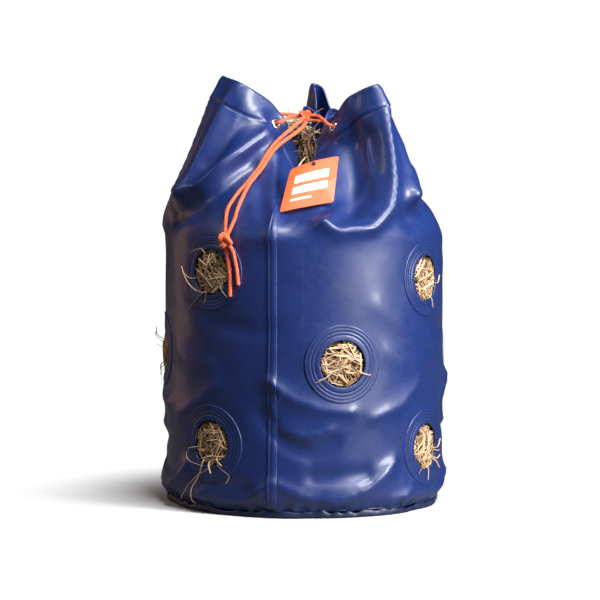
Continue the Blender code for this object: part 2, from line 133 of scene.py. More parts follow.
def laid_out(a, v):
    """The sheet's outer face at angles a (degrees) and heights v, as numpy arrays of one shape."""
    a, v = np.broadcast_arrays(np.asarray(a, float), np.asarray(v, float))
    out = np.stack([np.sin(np.radians(a)), -np.cos(np.radians(a)), np.zeros_like(a)], -1)
    up = np.array([0, 0, 1.0])
    low = out * body_radius(v)[..., None] + up * v[..., None]
    p0 = out * body_radius(np.full_like(v, SHOULDER))[..., None] + up * SHOULDER
    p1 = top_edge(a)
    run = SHEET - SHOULDER
    t = ((v - SHOULDER) / run)[..., None]
    d0, d1 = up * run * 0.62, (p1 - p0) * 1.02
    high = (p0 * (2 * t**3 - 3 * t**2 + 1) + d0 * (t**3 - 2 * t**2 + t)
            + p1 * (-2 * t**3 + 3 * t**2) + d1 * (t**3 - t**2))
    return np.where((v <= SHOULDER)[..., None], low, high)


# Folds and dents pressed into the cloth before it is let go: a line in (angle, height), how far it stands out, its half
# width, and whether it is a sharp crease. The set at the front is repeated, weaker and shifted, between the other ears.
FRONT_FOLDS = [
    ([(-56, 0.768), (-58, 0.7334), (-60, 0.669), (-62, 0.6046), (-67, 0.572)], 0.012, 0.016, True),
    ([(-35, 0.7285), (-37, 0.7037), (-41, 0.669), (-47, 0.6343), (-56, 0.5897), (-66, 0.570)], 0.013, 0.015, True),
    ([(-47, 0.72), (-50, 0.67), (-54, 0.63)], -0.005, 0.016, False),
    ([(-34, 0.650), (-42, 0.600), (-54, 0.550), (-70, 0.530)], -0.011, 0.026, False),
    ([(54, 0.768), (54, 0.7384), (50, 0.6987), (47, 0.6541), (43, 0.600), (38, 0.550), (28, 0.5055), (14, 0.4956), (7, 0.515)], 0.013, 0.015, True),
    ([(28, 0.700), (25, 0.640), (20, 0.570)], -0.016, 0.034, False),
    ([(38, 0.690), (35, 0.640), (30, 0.585)], -0.006, 0.022, False),
    ([(16, 0.5749), (12, 0.545), (8, 0.5154)], 0.008, 0.010, True),
    ([(66, 0.73), (66, 0.66), (62, 0.58)], -0.006, 0.022, False),
    ([(-26, 0.700), (-19, 0.6294), (-14, 0.560), (-12.6, 0.4807)], 0.008, 0.012, True),
]
BODY_DENTS = [
    ([(-13, 0.232), (-4, 0.2032), (6, 0.1884), (18, 0.1834)], 0.0042, 0.010, True),
    ([(-16, 0.1785), (-12, 0.1487), (-5, 0.124), (3, 0.1091), (11, 0.1289)], -0.0040, 0.012, False),
    ([(4, 0.072), (15, 0.069), (25, 0.072)], -0.0035, 0.011, False),
    ([(23, 0.044), (30, 0.056), (37, 0.075)], 0.0030, 0.008, True),
    ([(-34, 0.330), (-22, 0.318), (-14, 0.322)], -0.0014, 0.018, False),
    ([(30, 0.360), (40, 0.335), (47, 0.300)], 0.0010, 0.020, False),
    ([(-60, 0.280), (-52, 0.262), (-40, 0.258)], 0.0014, 0.018, False),
    ([(28, 0.170), (42, 0.190), (52, 0.225)], 0.0028, 0.012, True),
    ([(-48, 0.060), (-36, 0.046), (-24, 0.050)], -0.0030, 0.012, False),
    ([(-10, 0.058), (0, 0.040), (10, 0.032)], 0.0040, 0.007, True),
    ([(-34, 0.020), (-20, 0.034), (-13, 0.062)], 0.0036, 0.007, True),
    ([(12, 0.028), (24, 0.048), (38, 0.092)], 0.0046, 0.007, True),
    ([(40, 0.024), (50, 0.050), (56, 0.082)], 0.0036, 0.007, True),
    ([(-58, 0.026), (-46, 0.030), (-38, 0.022)], 0.0034, 0.007, True),
    ([(-12.6, 0.235), (-9, 0.215), (-12.6, 0.190)], 0.0026, 0.006, True),
    ([(-10, 0.150), (2, 0.140), (10, 0.152)], 0.0030, 0.007, True),
]


def fold_field(a, v, collar=True):
    """How far the pressed folds stand out of the laid-out sheet, in metres; COLLAR false gives the wall's alone."""
    total = np.zeros(np.broadcast(a, v).shape)
    sets = [(0, 1.0, FRONT_FOLDS), (120, 0.85, FRONT_FOLDS), (240, 0.9, FRONT_FOLDS),
            (0, 1.0, BODY_DENTS), (95, 1.0, BODY_DENTS), (187, -0.9, BODY_DENTS), (271, 1.0, BODY_DENTS)]
    for turn, gain, folds in sets if collar else sets[3:]:
        for line, high, wide, crease in folds:
            best = np.full(total.shape, 9.0)
            for (a0, v0), (a1, v1) in zip(line, line[1:]):
                x = np.radians((a - turn - a0 + 180) % 360 - 180) * BAG_R
                y = v - v0
                dx, dy = math.radians(a1 - a0) * BAG_R, v1 - v0
                t = np.clip((x * dx + y * dy) / (dx * dx + dy * dy), 0, 1)
                best = np.minimum(best, np.hypot(x - dx * t, y - dy * t))
            total += gain * high * (np.exp(-best / wide) if crease else np.exp(-((best / wide) ** 2)))
    return total


def holes():
    found = []
    for k in range(8):
        a = FIRST_COLUMN + k * COLUMN_STEP
        for row in (("middle",) if k % 2 == 0 else ("upper", "lower")):
            z = ROWS_Z[row] - ROW_TILT * BAG_R * math.sin(math.radians(a))
            found.append((row, k // 2 + 1, a, z))
    return found


# ------------------------------------------------------------------ the filling, as a soft lumpy body
def lumps(phi, z):
    """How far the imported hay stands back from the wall, in metres, over angle (radians) and height."""
    f = np.zeros_like(phi)
    r = np.random.default_rng(11)
    for k in range(46):
        n = int(r.integers(2, 13))
        kz = r.uniform(6, 42)
        f += math.sqrt(1.0 / (n + kz / 6)) * np.sin(n * phi + r.uniform(0, 6.28)) * np.sin(kz * z + r.uniform(0, 6.28))
    return f


def hay_radius(phi, z):
    """Radius of the filling at an angle (radians, same zero as the sheet's) and height; it is heaped at the top."""
    wall = BAG_R - SKIN - 0.0012 - 0.0022 - 0.0013 * lumps(phi, z)
    turn = np.maximum(0.0, 1 - (z - 0.006) / 0.050)
    wall = wall - 0.026 * turn ** 2.2
    top = np.interp(z, [0.440, 0.466, 0.490, 0.512, 0.532, 0.548, 0.558, 0.566],
                    [1.0, 0.965, 0.86, 0.68, 0.44, 0.24, 0.10, 0.0])
    return wall * top


def relaxed_sheet():
    """The sheet's grid. The shape is laid out with its folds by formula. A short cloth relaxation, pinned at the base and the
    eyelets and drawn toward that shape throughout, only evens it out: it moves the sheet about a millimetre on average.
    Returns the grid of points, the angles and the heights."""
    na, nv = 264, 132
    ang = np.arange(na) * 360.0 / na
    lev = np.linspace(LOW_EDGE, SHEET, nv)
    p = laid_out(ang[None, :], lev[:, None])
    da, dv = 2 * math.pi * (BAG_R - 0.0012) / na, lev[1] - lev[0]
    # the ear at the back is drawn in on both sides and turned edge-on, so only a strap of it stands up
    off = np.abs(ang - 172)
    drop = (smooth01((off - 6.0) / 3.5) * smooth01((32 - off) / 12))[None, :]
    p[..., 2] -= np.maximum(0.0, p[..., 2] - 0.688) * 0.80 * drop
    tip = laid_out(172.0, SHEET)
    turn = math.radians(66) * smooth01((30 - np.abs(ang - 172)) / 16)[None, :] * smooth01((p[..., 2] - 0.672) / 0.045)
    near = laid_out(172.0, lev)[:, None, :]
    dx, dy = p[..., 0] - near[..., 0], p[..., 1] - near[..., 1]
    p[..., 0] = near[..., 0] + dx * np.cos(turn) - dy * np.sin(turn) + (0.022 - tip[0]) * turn / 1.15
    p[..., 1] = near[..., 1] + dx * np.sin(turn) + dy * np.cos(turn)
    # the wall stands full above the base seam and sags a little over it, unevenly
    r = np.random.default_rng(31)
    slump = 0.75 + 0.22 * sum(np.sin(np.radians(ang) * k + r.uniform(0, 6.28)) for k in (2, 3, 5, 9, 14))
    bulge = (0.0150 * slump[None, :] * np.exp(-(((lev[:, None] - 0.033) / 0.024) ** 2)))
    p[..., 0] += np.sin(np.radians(ang))[None, :] * bulge
    p[..., 1] -= np.cos(np.radians(ang))[None, :] * bulge
    lie = unit(np.cross(np.roll(p, -1, 1) - np.roll(p, 1, 1), np.gradient(p, axis=0)))
    field = fold_field(ang[None, :], lev[:, None])
    for name, a in EYELETS_A.items():   # the cord draws the cloth flat round each eyelet
        d = np.hypot(((ang[None, :] - a + 180) % 360 - 180) / 360 * na * da, lev[:, None] - (SHEET - EYELET_DROP))
        field = field * smooth01((d - 0.012) / 0.03)
    field = field * smooth01((lev[:, None] - 0.012) / 0.03)
    p = p + lie * field[..., None]
    laid = p.copy()

    held = np.zeros((nv, na), bool)
    held[0] = True
    goal = p.copy()
    facet = unit(np.cross(laid_out(ang + 2, SHEET - EYELET_DROP) - laid_out(ang - 2, SHEET - EYELET_DROP),
                          laid_out(ang, SHEET - 0.012) - laid_out(ang, SHEET - 0.036)))
    pull = np.zeros((nv, na))
    for name, a in EYELETS_A.items():
        j = int(round((a % 360) / 360 * na))
        i = int(round((SHEET - EYELET_DROP - LOW_EDGE) / dv))
        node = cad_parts[f"eyelet_{name}"]
        pts = np.array([v.co for v in node.data.vertices], float)
        mid = pts.mean(0)
        axis = np.linalg.svd(pts - mid)[2][2]
        base = facet[j % na]
        axis = axis * np.sign(axis @ base)
        p0 = mid + axis * 0.0016
        across = unit(laid_out(a + 3, SHEET - EYELET_DROP) - laid_out(a - 3, SHEET - EYELET_DROP))
        across = unit(across - axis * (across @ axis))
        upward = np.cross(axis, across)
        for di in (-2, -1, 0, 1, 2):
            for dj in (-2, -1, 0, 1, 2):
                aj = (j + dj) % na
                goal[i + di, aj] = (p0 + across * ((ang[aj] - a + 180) % 360 - 180) / 360 * na * da
                                    + upward * (lev[i + di] - (SHEET - EYELET_DROP)))
                held[i + di, aj] = True
        eyelet_frames[name] = (p0, axis, upward)
    # the ears' tips and the folds' bottoms keep near where the gathering leaves them
    for a, k in ((52, 0.05), (172, 0.05), (292, 0.05), (-8, 0.06), (112, 0.06), (232, 0.06)):
        for j in range(na):
            d = abs((ang[j] - a + 180) % 360 - 180)
            pull[-3:, j] = np.maximum(pull[-3:, j], k * max(0.0, 1 - d / 3.5))
    pull = np.maximum(pull, 0.012)
    pull = np.maximum(pull, (0.03 * smooth01((0.47 - lev) / 0.08))[:, None])

    stiff = np.zeros((nv, na))       # the doubled ring zones bend less
    for row, k, a, z in holes():
        d = np.hypot(((ang[None, :] - a + 180) % 360 - 180) / 360 * na * da, lev[:, None] - z)
        stiff = np.maximum(stiff, smooth01((0.078 - d) / 0.014))
    d = np.abs((ang[None, :] - SEAM_A + 180) % 360 - 180) / 360 * na * da
    stiff = np.maximum(stiff, 0.5 * smooth01((0.016 - d) / 0.010) * np.ones((nv, 1)))
    hem = smooth01((lev[:, None] - (SHEET - HEM - 0.004)) / 0.006) * np.ones((1, na))

    inv = np.where(held, 0.0, 1.0)
    vel = np.zeros_like(p)
    diag = math.hypot(da, dv)

    # On the wall the rest lengths are the cut ones. In the collar they are mostly those of the laid-out shape, so part of the
    # gathering's spare cloth is left out there instead of crumpling finely.
    take = smooth01((lev - 0.435) / 0.035)[:, None] * np.ones((1, na))

    def pair(ia, ja, ib, jb, rest, k, push=1.0, part=0.75):
        """Moves two slices of points until they are REST apart; PUSH is how much they resist being nearer."""
        was = np.sqrt(((laid[ib, jb] - laid[ia, ja]) ** 2).sum(-1))
        if rest > 1.9 * da:
            rest = was * (1 + 0.25 * np.clip(rest / was - 1, 0, 0.15))
        else:
            rest = rest + (was - rest) * take[ia, ja] * part
        a, b = p[ia, ja], p[ib, jb]
        wa, wb = inv[ia, ja], inv[ib, jb]
        d = b - a
        n = np.sqrt((d * d).sum(-1))
        s = (n - rest) / np.maximum(n, 1e-9)
        s = np.where(s < 0, s * push, s) * k / np.maximum(wa + wb, 1e-9)
        move = d * s[..., None]
        p[ia, ja] = a + move * wa[..., None]
        p[ib, jb] = b - move * wb[..., None]

    def across(step, rest, k, push):
        idx = np.arange(na)
        for c in range(2):
            for off in range(step):
                ja = idx[(idx // step) % 2 == c]
                ja = ja[ja % step == off]
                jb = (ja + step) % na
                pair(slice(None), ja, slice(None), jb, rest, k, push)

    def along(step, rest, k, push):
        for c in range(2):
            ia = np.arange(nv - step)
            ia = ia[(ia // step) % 2 == c]
            pair(ia, slice(None), ia + step, slice(None), rest, k, push, 0.98)

    def cross(k, push):
        for sign in (1, -1):
            for c in range(2):
                ia = np.arange(c, nv - 1, 2)
                ja = np.arange(na)
                pair(ia[:, None], ja[None, :], (ia + 1)[:, None], ((ja + sign) % na)[None, :], diag, k, push)

    steps = 420
    for it in range(steps):
        last = p.copy()
        vel *= 0.90
        vel[..., 2] -= 0.000004
        p += vel * inv[..., None]
        p += (goal - p) * (pull * inv)[..., None]
        p[held] += (goal[held] - p[held]) * 0.25
        across(1, da, 0.9, 0.8)
        along(1, dv, 0.9, 0.8)
        cross(0.6, 0.6)
        across(2, 2 * da, 0.28, 1.0)
        along(2, 2 * dv, 0.28, 1.0)
        across(4, 4 * da, 0.14, 1.0)
        along(4, 4 * dv, 0.14, 1.0)
        if it % 2 == 0:
            lap = (np.roll(p, 1, 1) + np.roll(p, -1, 1)) / 2 - p
            up = np.zeros_like(p)
            up[1:-1] = (p[2:] + p[:-2]) / 2 - p[1:-1]
            p += (lap + up) * (0.03 + 0.35 * stiff + 0.20 * hem * 0)[..., None] * inv[..., None]
        # the filling holds the cloth out
        rad = np.hypot(p[..., 0], p[..., 1])
        phi = np.arctan2(p[..., 0], -p[..., 1])
        want = hay_radius(phi, p[..., 2]) + SKIN
        short = np.clip(want - rad, 0, 0.02) * (rad > 0.03)
        near_top = smooth01((p[..., 2] - 0.445) / 0.05)
        lift = short * near_top * 0.75
        f = 1 + short * (1 - 0.5 * near_top) / np.maximum(rad, 1e-6)
        p[..., 0] *= f
        p[..., 1] *= f
        p[..., 2] += lift
        # nothing swells past the bag's size
        over = np.maximum(0, rad - (BAG_R + 0.0045)) * 0.5
        p[..., 0] -= p[..., 0] / np.maximum(rad, 1e-6) * over
        p[..., 1] -= p[..., 1] / np.maximum(rad, 1e-6) * over
        p[..., 2] = np.maximum(p[..., 2], 0.0030)
        p[held & (np.arange(nv)[:, None] == 0)] = goal[held & (np.arange(nv)[:, None] == 0)]
        vel = (p - last) * 0.9
        big = np.linalg.norm(vel, axis=-1, keepdims=True)
        vel *= np.minimum(1, 0.002 / np.maximum(big, 1e-9))
    # coated cloth is too stiff to hold ripples as fine as the grid
    for it in range(4):
        lap = (np.roll(p, 1, 1) + np.roll(p, -1, 1)) / 2 - p
        up = np.zeros_like(p)
        up[1:-1] = (p[2:] + p[:-2]) / 2 - p[1:-1]
        p += (lap + up) * 0.30 * np.where(held, 0.0, 1.0)[..., None]
    # the creases the smoothing took, and the slow unevenness of cloth over packed hay
    lie = unit(np.cross(np.roll(p, -1, 1) - np.roll(p, 1, 1), np.gradient(p, axis=0)))
    r = np.random.default_rng(77)
    slow = np.zeros((nv, na))
    th = np.radians(ang)[None, :]
    for k in range(60):
        n = int(r.integers(3, 26))
        kz = r.uniform(6, 80)
        slow += math.sqrt(1.0 / (4 + n + kz / 4)) * np.sin(n * th + r.uniform(0, 6.28) + r.uniform(-14, 14) * lev[:, None]) * np.sin(kz * lev[:, None] + r.uniform(0, 6.28))
    calm = np.ones((nv, na))
    for name, a in EYELETS_A.items():
        d = np.hypot(((ang[None, :] - a + 180) % 360 - 180) / 360 * na * da, lev[:, None] - (SHEET - EYELET_DROP))
        calm *= smooth01((d - 0.012) / 0.03)
    for row, k, a, z in holes():
        d = np.hypot(((ang[None, :] - a + 180) % 360 - 180) / 360 * na * da, lev[:, None] - z)
        calm *= 0.25 + 0.75 * smooth01((d - 0.060) / 0.03)
    calm *= smooth01((lev[:, None] - 0.012) / 0.02) * (1 - 0.7 * smooth01((lev[:, None] - SHEET + 0.05) / 0.04))
    share = smooth01((lev[:, None] - 0.47) / 0.08)
    wall = fold_field(ang[None, :], lev[:, None], False)
    again = share * 0.55 * field + (1 - share) * (1.15 * np.maximum(wall, -0.0018) + 0.20 * (field - wall))
    for a in (52, 172, 292):   # the ears' points stay crisp: the hem's doubled cloth holds them
        near_tip = np.exp(-((((ang[None, :] - a + 180) % 360 - 180) / 8.0) ** 2)) * smooth01((lev[:, None] - 0.700) / 0.045)
        p += (laid - p) * (0.85 * near_tip)[..., None]
    p += lie * ((again + (0.00026 + 0.00022 * smooth01((0.30 - lev[:, None]) / 0.2)) * slow) * calm)[..., None]
    p[..., 2] = np.maximum(p[..., 2], 0.0030)
    return p, ang, lev


eyelet_frames = {}
GRID, ANG, LEV = relaxed_sheet()


def surf(a, v, lift=0.0):
    """Points of the relaxed sheet at angles (degrees) and heights, lifted along its outward normal; also the normals."""
    a, v = np.broadcast_arrays(np.asarray(a, float), np.asarray(v, float))
    nv, na = GRID.shape[:2]
    x = (a % 360) / 360 * na
    y = np.clip((v - LEV[0]) / (LEV[1] - LEV[0]), 0, nv - 1.000001)
    j, i = np.floor(x).astype(int), np.floor(y).astype(int)
    s, t = x - j, y - i

    def weights(u):
        return (np.stack([-u + 2 * u**2 - u**3, 2 - 5 * u**2 + 3 * u**3, u + 4 * u**2 - 3 * u**3, -u**2 + u**3]) / 2,
                np.stack([-1 + 4 * u - 3 * u**2, -10 * u + 9 * u**2, 1 + 8 * u - 9 * u**2, -2 * u + 3 * u**2]) / 2)

    ws, ds = weights(s)
    wt, dt = weights(t)
    p = np.zeros(a.shape + (3,))
    pa, pv = np.zeros_like(p), np.zeros_like(p)
    for m in range(4):
        im = i + m - 1
        low, high = im < 0, im > nv - 1
        ic = np.clip(im, 0, nv - 1)
        for n in range(4):
            jn = (j + n - 1) % na
            g = GRID[ic, jn]
            g = np.where(low[..., None], 2 * GRID[0, jn] - GRID[1, jn], g)
            g = np.where(high[..., None], 2 * GRID[nv - 1, jn] - GRID[nv - 2, jn], g)
            p += g * (wt[m] * ws[n])[..., None]
            pa += g * (wt[m] * ds[n])[..., None]
            pv += g * (dt[m] * ws[n])[..., None]
    normal = unit(np.cross(pa, pv))
    return p + normal * np.asarray(lift)[..., None], normal


# ------------------------------------------------------------------ mesh helpers
def mesh_object(name, verts, faces, mat, uvs=None, smooth=True, attrs=None):
    mesh = bpy.data.meshes.new(name)
    verts = np.asarray(verts, float).reshape(-1, 3)
    mesh.from_pydata(verts.tolist(), [], [tuple(int(i) for i in f) for f in faces])
    mesh.validate()
    if uvs is not None:
        layer = mesh.uv_layers.new(name="cloth")
        loops = np.zeros(len(mesh.loops), np.int32)
        mesh.loops.foreach_get("vertex_index", loops)
        layer.data.foreach_set("uv", np.asarray(uvs, np.float32).reshape(-1, 2)[loops].ravel())
    for key, values in (attrs or {}).items():
        at = mesh.attributes.new(key, "FLOAT", "POINT")
        at.data.foreach_set("value", np.asarray(values, np.float32).ravel())
    if smooth:
        mesh.shade_smooth()
    mesh.materials.append(mat)
    obj = bpy.data.objects.new(name, mesh)
    bpy.context.scene.collection.objects.link(obj)
    return obj


def strip_faces(rows, cols, closed_cols=True, closed_rows=False, flip=False):
    i = np.arange(rows if closed_rows else rows - 1)
    j = np.arange(cols if closed_cols else cols - 1)
    ii, jj = np.meshgrid(i, j, indexing="ij")
    i2, j2 = (ii + 1) % rows, (jj + 1) % cols
    f = np.stack([ii * cols + jj, ii * cols + j2, i2 * cols + j2, i2 * cols + jj], -1).reshape(-1, 4)
    return f[:, ::-1] if flip else f


def smooth_route(points, step):
    pts = [np.asarray(q, float) for q in points]
    pts = [2 * pts[0] - pts[1]] + pts + [2 * pts[-1] - pts[-2]]
    dense = []
    for i in range(1, len(pts) - 2):
        p0, p1, p2, p3 = pts[i - 1 : i + 3]
        t = [0.0]
        for a, b in ((p0, p1), (p1, p2), (p2, p3)):
            t.append(t[-1] + max(1e-6, np.linalg.norm(b - a)) ** 0.5)
        for k in range(24):
            u = t[1] + (t[2] - t[1]) * k / 24
            a1 = p0 + (p1 - p0) * (u - t[0]) / (t[1] - t[0])
            a2 = p1 + (p2 - p1) * (u - t[1]) / (t[2] - t[1])
            a3 = p2 + (p3 - p2) * (u - t[2]) / (t[3] - t[2])
            b1 = a1 + (a2 - a1) * (u - t[0]) / (t[2] - t[0])
            b2 = a2 + (a3 - a2) * (u - t[1]) / (t[3] - t[1])
            dense.append(b1 + (b2 - b1) * (u - t[1]) / (t[2] - t[1]))
    dense.append(pts[-2])
    dense = np.array(dense)
    return resample(dense, step)


def resample(line, step):
    seg = np.linalg.norm(np.diff(line, axis=0), axis=1)
    s = np.concatenate([[0], np.cumsum(seg)])
    n = max(3, int(round(s[-1] / step)))
    want = np.linspace(0, s[-1], n + 1)
    return np.stack([np.interp(want, s, line[:, k]) for k in range(3)], 1)


def transported(line):
    """Unit tangents and two unit vectors across them that turn as little as possible along the line."""
    t = unit(np.gradient(line, axis=0))
    x = np.cross(t[0], [0, 0, 1.0])
    if np.linalg.norm(x) < 0.1:
        x = np.cross(t[0], [1.0, 0, 0])
    xs = [x / np.linalg.norm(x)]
    for k in range(1, len(line)):
        v = xs[-1] - t[k] * (xs[-1] @ t[k])
        xs.append(v / np.linalg.norm(v))
    xs = np.array(xs)
    return t, xs, np.cross(t, xs)


def braided(name, line, radius, mat, closed=False, around=20, ends=(True, True), seal=False):
    """A braided cord along a line: a tube with the braid's relief, and which strand shows kept as an attribute."""
    line = resample(np.asarray(line, float), 0.0011)
    t, x, y = transported(line)
    s = np.concatenate([[0], np.cumsum(np.linalg.norm(np.diff(line, axis=0), axis=1))])
    th = np.arange(around) * 2 * math.pi / around
    pitch = 2 * math.pi / (radius * 7.0)
    one = np.cos(4 * th[None, :] + pitch * s[:, None])
    two = np.cos(4 * th[None, :] - pitch * s[:, None])
    high = np.maximum(one, two)
    rad = radius * (0.93 + 0.09 * high)
    if seal:
        rad[-4:] *= np.array([1.02, 1.04, 0.98, 0.80])[:, None]
    ring = (line[:, None, :] + x[:, None, :] * (np.cos(th)[None, :, None] * rad[..., None])
            + y[:, None, :] * (np.sin(th)[None, :, None] * rad[..., None]))
    n = len(line)
    verts = ring.reshape(-1, 3)
    faces = list(strip_faces(n, around))
    which = smooth01((one - two) * 1.2 + 0.5).ravel()
    verts = np.concatenate([verts, line[:1], line[-1:]])
    which = np.concatenate([which, [0.5, 0.5]])
    a, b = n * around, n * around + 1
    faces += [(a, (k + 1) % around, k) for k in range(around)]
    faces += [(b, (n - 1) * around + k, (n - 1) * around + (k + 1) % around) for k in range(around)]
    return mesh_object(name, verts, faces, mat, attrs={"strand": which}), line


# ------------------------------------------------------------------ materials
def new_material(name, rough=0.5, metallic=0.0):
    mat = bpy.data.materials.new(name)
    mat.use_nodes = True
    nt = mat.node_tree
    bsdf = nt.nodes["Principled BSDF"]
    bsdf.inputs["Roughness"].default_value = rough
    bsdf.inputs["Metallic"].default_value = metallic
    return mat, nt, bsdf


def node(nt, kind, **props):
    n = nt.nodes.new(kind)
    for key, value in props.items():
        if key in n.inputs:
            n.inputs[key].default_value = value
        else:
            setattr(n, key, value)
    return n


def ramp(nt, fac, stops):
    r = nt.nodes.new("ShaderNodeValToRGB")
    while len(r.color_ramp.elements) > len(stops):
        r.color_ramp.elements.remove(r.color_ramp.elements[-1])
    while len(r.color_ramp.elements) < len(stops):
        r.color_ramp.elements.new(0.5)
    for el, (pos, col) in zip(r.color_ramp.elements, stops):
        el.position = pos
        el.color = (*col, 1)
    nt.links.new(fac, r.inputs["Fac"])
    return r.outputs["Color"]


def mix_colour(nt, fac, one, two, mode="MIX"):
    m = nt.nodes.new("ShaderNodeMix")
    m.data_type = "RGBA"
    m.blend_type = mode
    if hasattr(fac, "is_output") or isinstance(fac, bpy.types.NodeSocket):
        nt.links.new(fac, m.inputs["Factor"])
    else:
        m.inputs["Factor"].default_value = fac
    for value, socket in ((one, m.inputs[6]), (two, m.inputs[7])):
        if isinstance(value, bpy.types.NodeSocket):
            nt.links.new(value, socket)
        else:
            socket.default_value = (*value, 1)
    return m.outputs[2]


def maths(nt, op, a, b=None):
    m = nt.nodes.new("ShaderNodeMath")
    m.operation = op
    for k, value in enumerate((a, b)):
        if value is None:
            continue
        if isinstance(value, bpy.types.NodeSocket):
            nt.links.new(value, m.inputs[k])
        else:
            m.inputs[k].default_value = value
    return m.outputs[0]


def noise_tex(nt, scale, detail=3.0, rough=0.5, vector=None, distortion=0.0):
    n = nt.nodes.new("ShaderNodeTexNoise")
    n.inputs["Scale"].default_value = scale
    n.inputs["Detail"].default_value = detail
    n.inputs["Roughness"].default_value = rough
    n.inputs["Distortion"].default_value = distortion
    if vector is not None:
        nt.links.new(vector, n.inputs["Vector"])
    return n.outputs["Fac"]


def tarpaulin(name, base, light, rough=0.30, weave=0.05, coat=0.35):
    """PVC-coated fabric: faint scrim under a glossy skin, small scuffs and slight colour drift."""
    mat, nt, bsdf = new_material(name, rough)
    geo = nt.nodes.new("ShaderNodeNewGeometry")
    uv = node(nt, "ShaderNodeUVMap", uv_map="cloth")
    pos = geo.outputs["Position"]
    drift = noise_tex(nt, 9.0, 4.0, 0.6, pos)
    col = ramp(nt, drift, [(0.30, base), (0.70, light)])
    scuff = noise_tex(nt, 60.0, 6.0, 0.7, pos)
    rough_map = nt.nodes.new("ShaderNodeMapRange")
    rough_map.inputs["From Min"].default_value = 0.3
    rough_map.inputs["From Max"].default_value = 0.75
    rough_map.inputs["To Min"].default_value = rough - 0.04
    rough_map.inputs["To Max"].default_value = rough + 0.14
    nt.links.new(scuff, rough_map.inputs["Value"])
    nt.links.new(rough_map.outputs["Result"], bsdf.inputs["Roughness"])
    nt.links.new(col, bsdf.inputs["Base Color"])
    # scrim: two crossed wave patterns 1.1 mm apart
    sep = nt.nodes.new("ShaderNodeSeparateXYZ")
    nt.links.new(uv.outputs["UV"], sep.inputs[0])
    wu = maths(nt, "SINE", maths(nt, "MULTIPLY", sep.outputs["X"], 2 * math.pi / 0.0011))
    wv = maths(nt, "SINE", maths(nt, "MULTIPLY", sep.outputs["Y"], 2 * math.pi / 0.0011))
    weave_h = maths(nt, "MULTIPLY", maths(nt, "ADD", wu, wv), weave)
    fine = maths(nt, "MULTIPLY", noise_tex(nt, 220.0, 3.0, 0.6, pos), 0.25)
    soft = maths(nt, "MULTIPLY", noise_tex(nt, 26.0, 3.0, 0.55, pos), 1.1)
    height = maths(nt, "ADD", maths(nt, "ADD", weave_h, fine), soft)
    bump = nt.nodes.new("ShaderNodeBump")
    bump.inputs["Strength"].default_value = 0.35
    bump.inputs["Distance"].default_value = 0.0012
    nt.links.new(height, bump.inputs["Height"])
    nt.links.new(bump.outputs["Normal"], bsdf.inputs["Normal"])
    bsdf.inputs["Coat Weight"].default_value = coat
    bsdf.inputs["Coat Roughness"].default_value = 0.19
    bsdf.inputs["Specular IOR Level"].default_value = 0.55
    return mat


M_TARP = tarpaulin("tarpaulin_navy", (0.0048, 0.0185, 0.108), (0.0064, 0.0240, 0.138), rough=0.37, coat=0.32)
M_RING = tarpaulin("tarpaulin_ring", (0.0047, 0.0180, 0.104), (0.0062, 0.0232, 0.132), rough=0.40, weave=0.07, coat=0.26)
# the welt's navy is about half as bright as the wall's: painted shade for the band under the wall's bulge at the floor
M_WELT_PAINTED_SHADE = tarpaulin("tarpaulin_welt", (0.0040, 0.0090, 0.046), (0.0056, 0.0125, 0.062), rough=0.42, coat=0.12)


def cord_material():
    mat, nt, bsdf = new_material("cord_orange", 0.72)
    at = node(nt, "ShaderNodeAttribute", attribute_name="strand")
    geo = nt.nodes.new("ShaderNodeNewGeometry")
    col = ramp(nt, at.outputs["Fac"], [(0.25, (0.70, 0.066, 0.010)), (0.75, (0.86, 0.155, 0.040))])
    fuzz = noise_tex(nt, 900.0, 2.0, 0.6, geo.outputs["Position"])
    col = mix_colour(nt, 0.35, col, ramp(nt, fuzz, [(0.3, (0.58, 0.045, 0.006)), (0.7, (0.90, 0.20, 0.070))]))
    nt.links.new(col, bsdf.inputs["Base Color"])
    bump = nt.nodes.new("ShaderNodeBump")
    bump.inputs["Strength"].default_value = 0.4
    bump.inputs["Distance"].default_value = 0.0004
    nt.links.new(fuzz, bump.inputs["Height"])
    nt.links.new(bump.outputs["Normal"], bsdf.inputs["Normal"])
    bsdf.inputs["Sheen Weight"].default_value = 0.25
    return mat


def hay_material(name, dark, mid, pale):
    mat, nt, bsdf = new_material(name, 0.78)
    at = node(nt, "ShaderNodeAttribute", attribute_name="tone")
    geo = nt.nodes.new("ShaderNodeNewGeometry")
    streak = noise_tex(nt, 160.0, 3.0, 0.6, geo.outputs["Position"])
    tone = maths(nt, "ADD", maths(nt, "MULTIPLY", at.outputs["Fac"], 0.75), maths(nt, "MULTIPLY", streak, 0.30))
    col = ramp(nt, tone, [(0.10, dark), (0.45, mid), (0.90, pale)])
    nt.links.new(col, bsdf.inputs["Base Color"])
    bump = nt.nodes.new("ShaderNodeBump")
    bump.inputs["Strength"].default_value = 0.3
    bump.inputs["Distance"].default_value = 0.0006
    nt.links.new(streak, bump.inputs["Height"])
    nt.links.new(bump.outputs["Normal"], bsdf.inputs["Normal"])
    return mat


M_CORD = cord_material()


def thread_material():
    mat, nt, bsdf = new_material("thread_dark", 0.7)
    geo = nt.nodes.new("ShaderNodeNewGeometry")
    fuzz = noise_tex(nt, 1500.0, 2.0, 0.6, geo.outputs["Position"])
    nt.links.new(ramp(nt, fuzz, [(0.3, (0.010, 0.014, 0.040)), (0.7, (0.030, 0.036, 0.075))]), bsdf.inputs["Base Color"])
    return mat


M_THREAD = thread_material()
M_HAY = hay_material("hay_stalks", (0.055, 0.027, 0.009), (0.30, 0.165, 0.062), (0.74, 0.53, 0.34))
# the filling's hay colours are far darker than the stalks': painted shade deep in the holes and in the gaps between the
# stalks
M_HAY_CORE_PAINTED_SHADE = hay_material("hay_packed_painted_shade", (0.020, 0.010, 0.004), (0.055, 0.028, 0.010), (0.12, 0.065, 0.025))


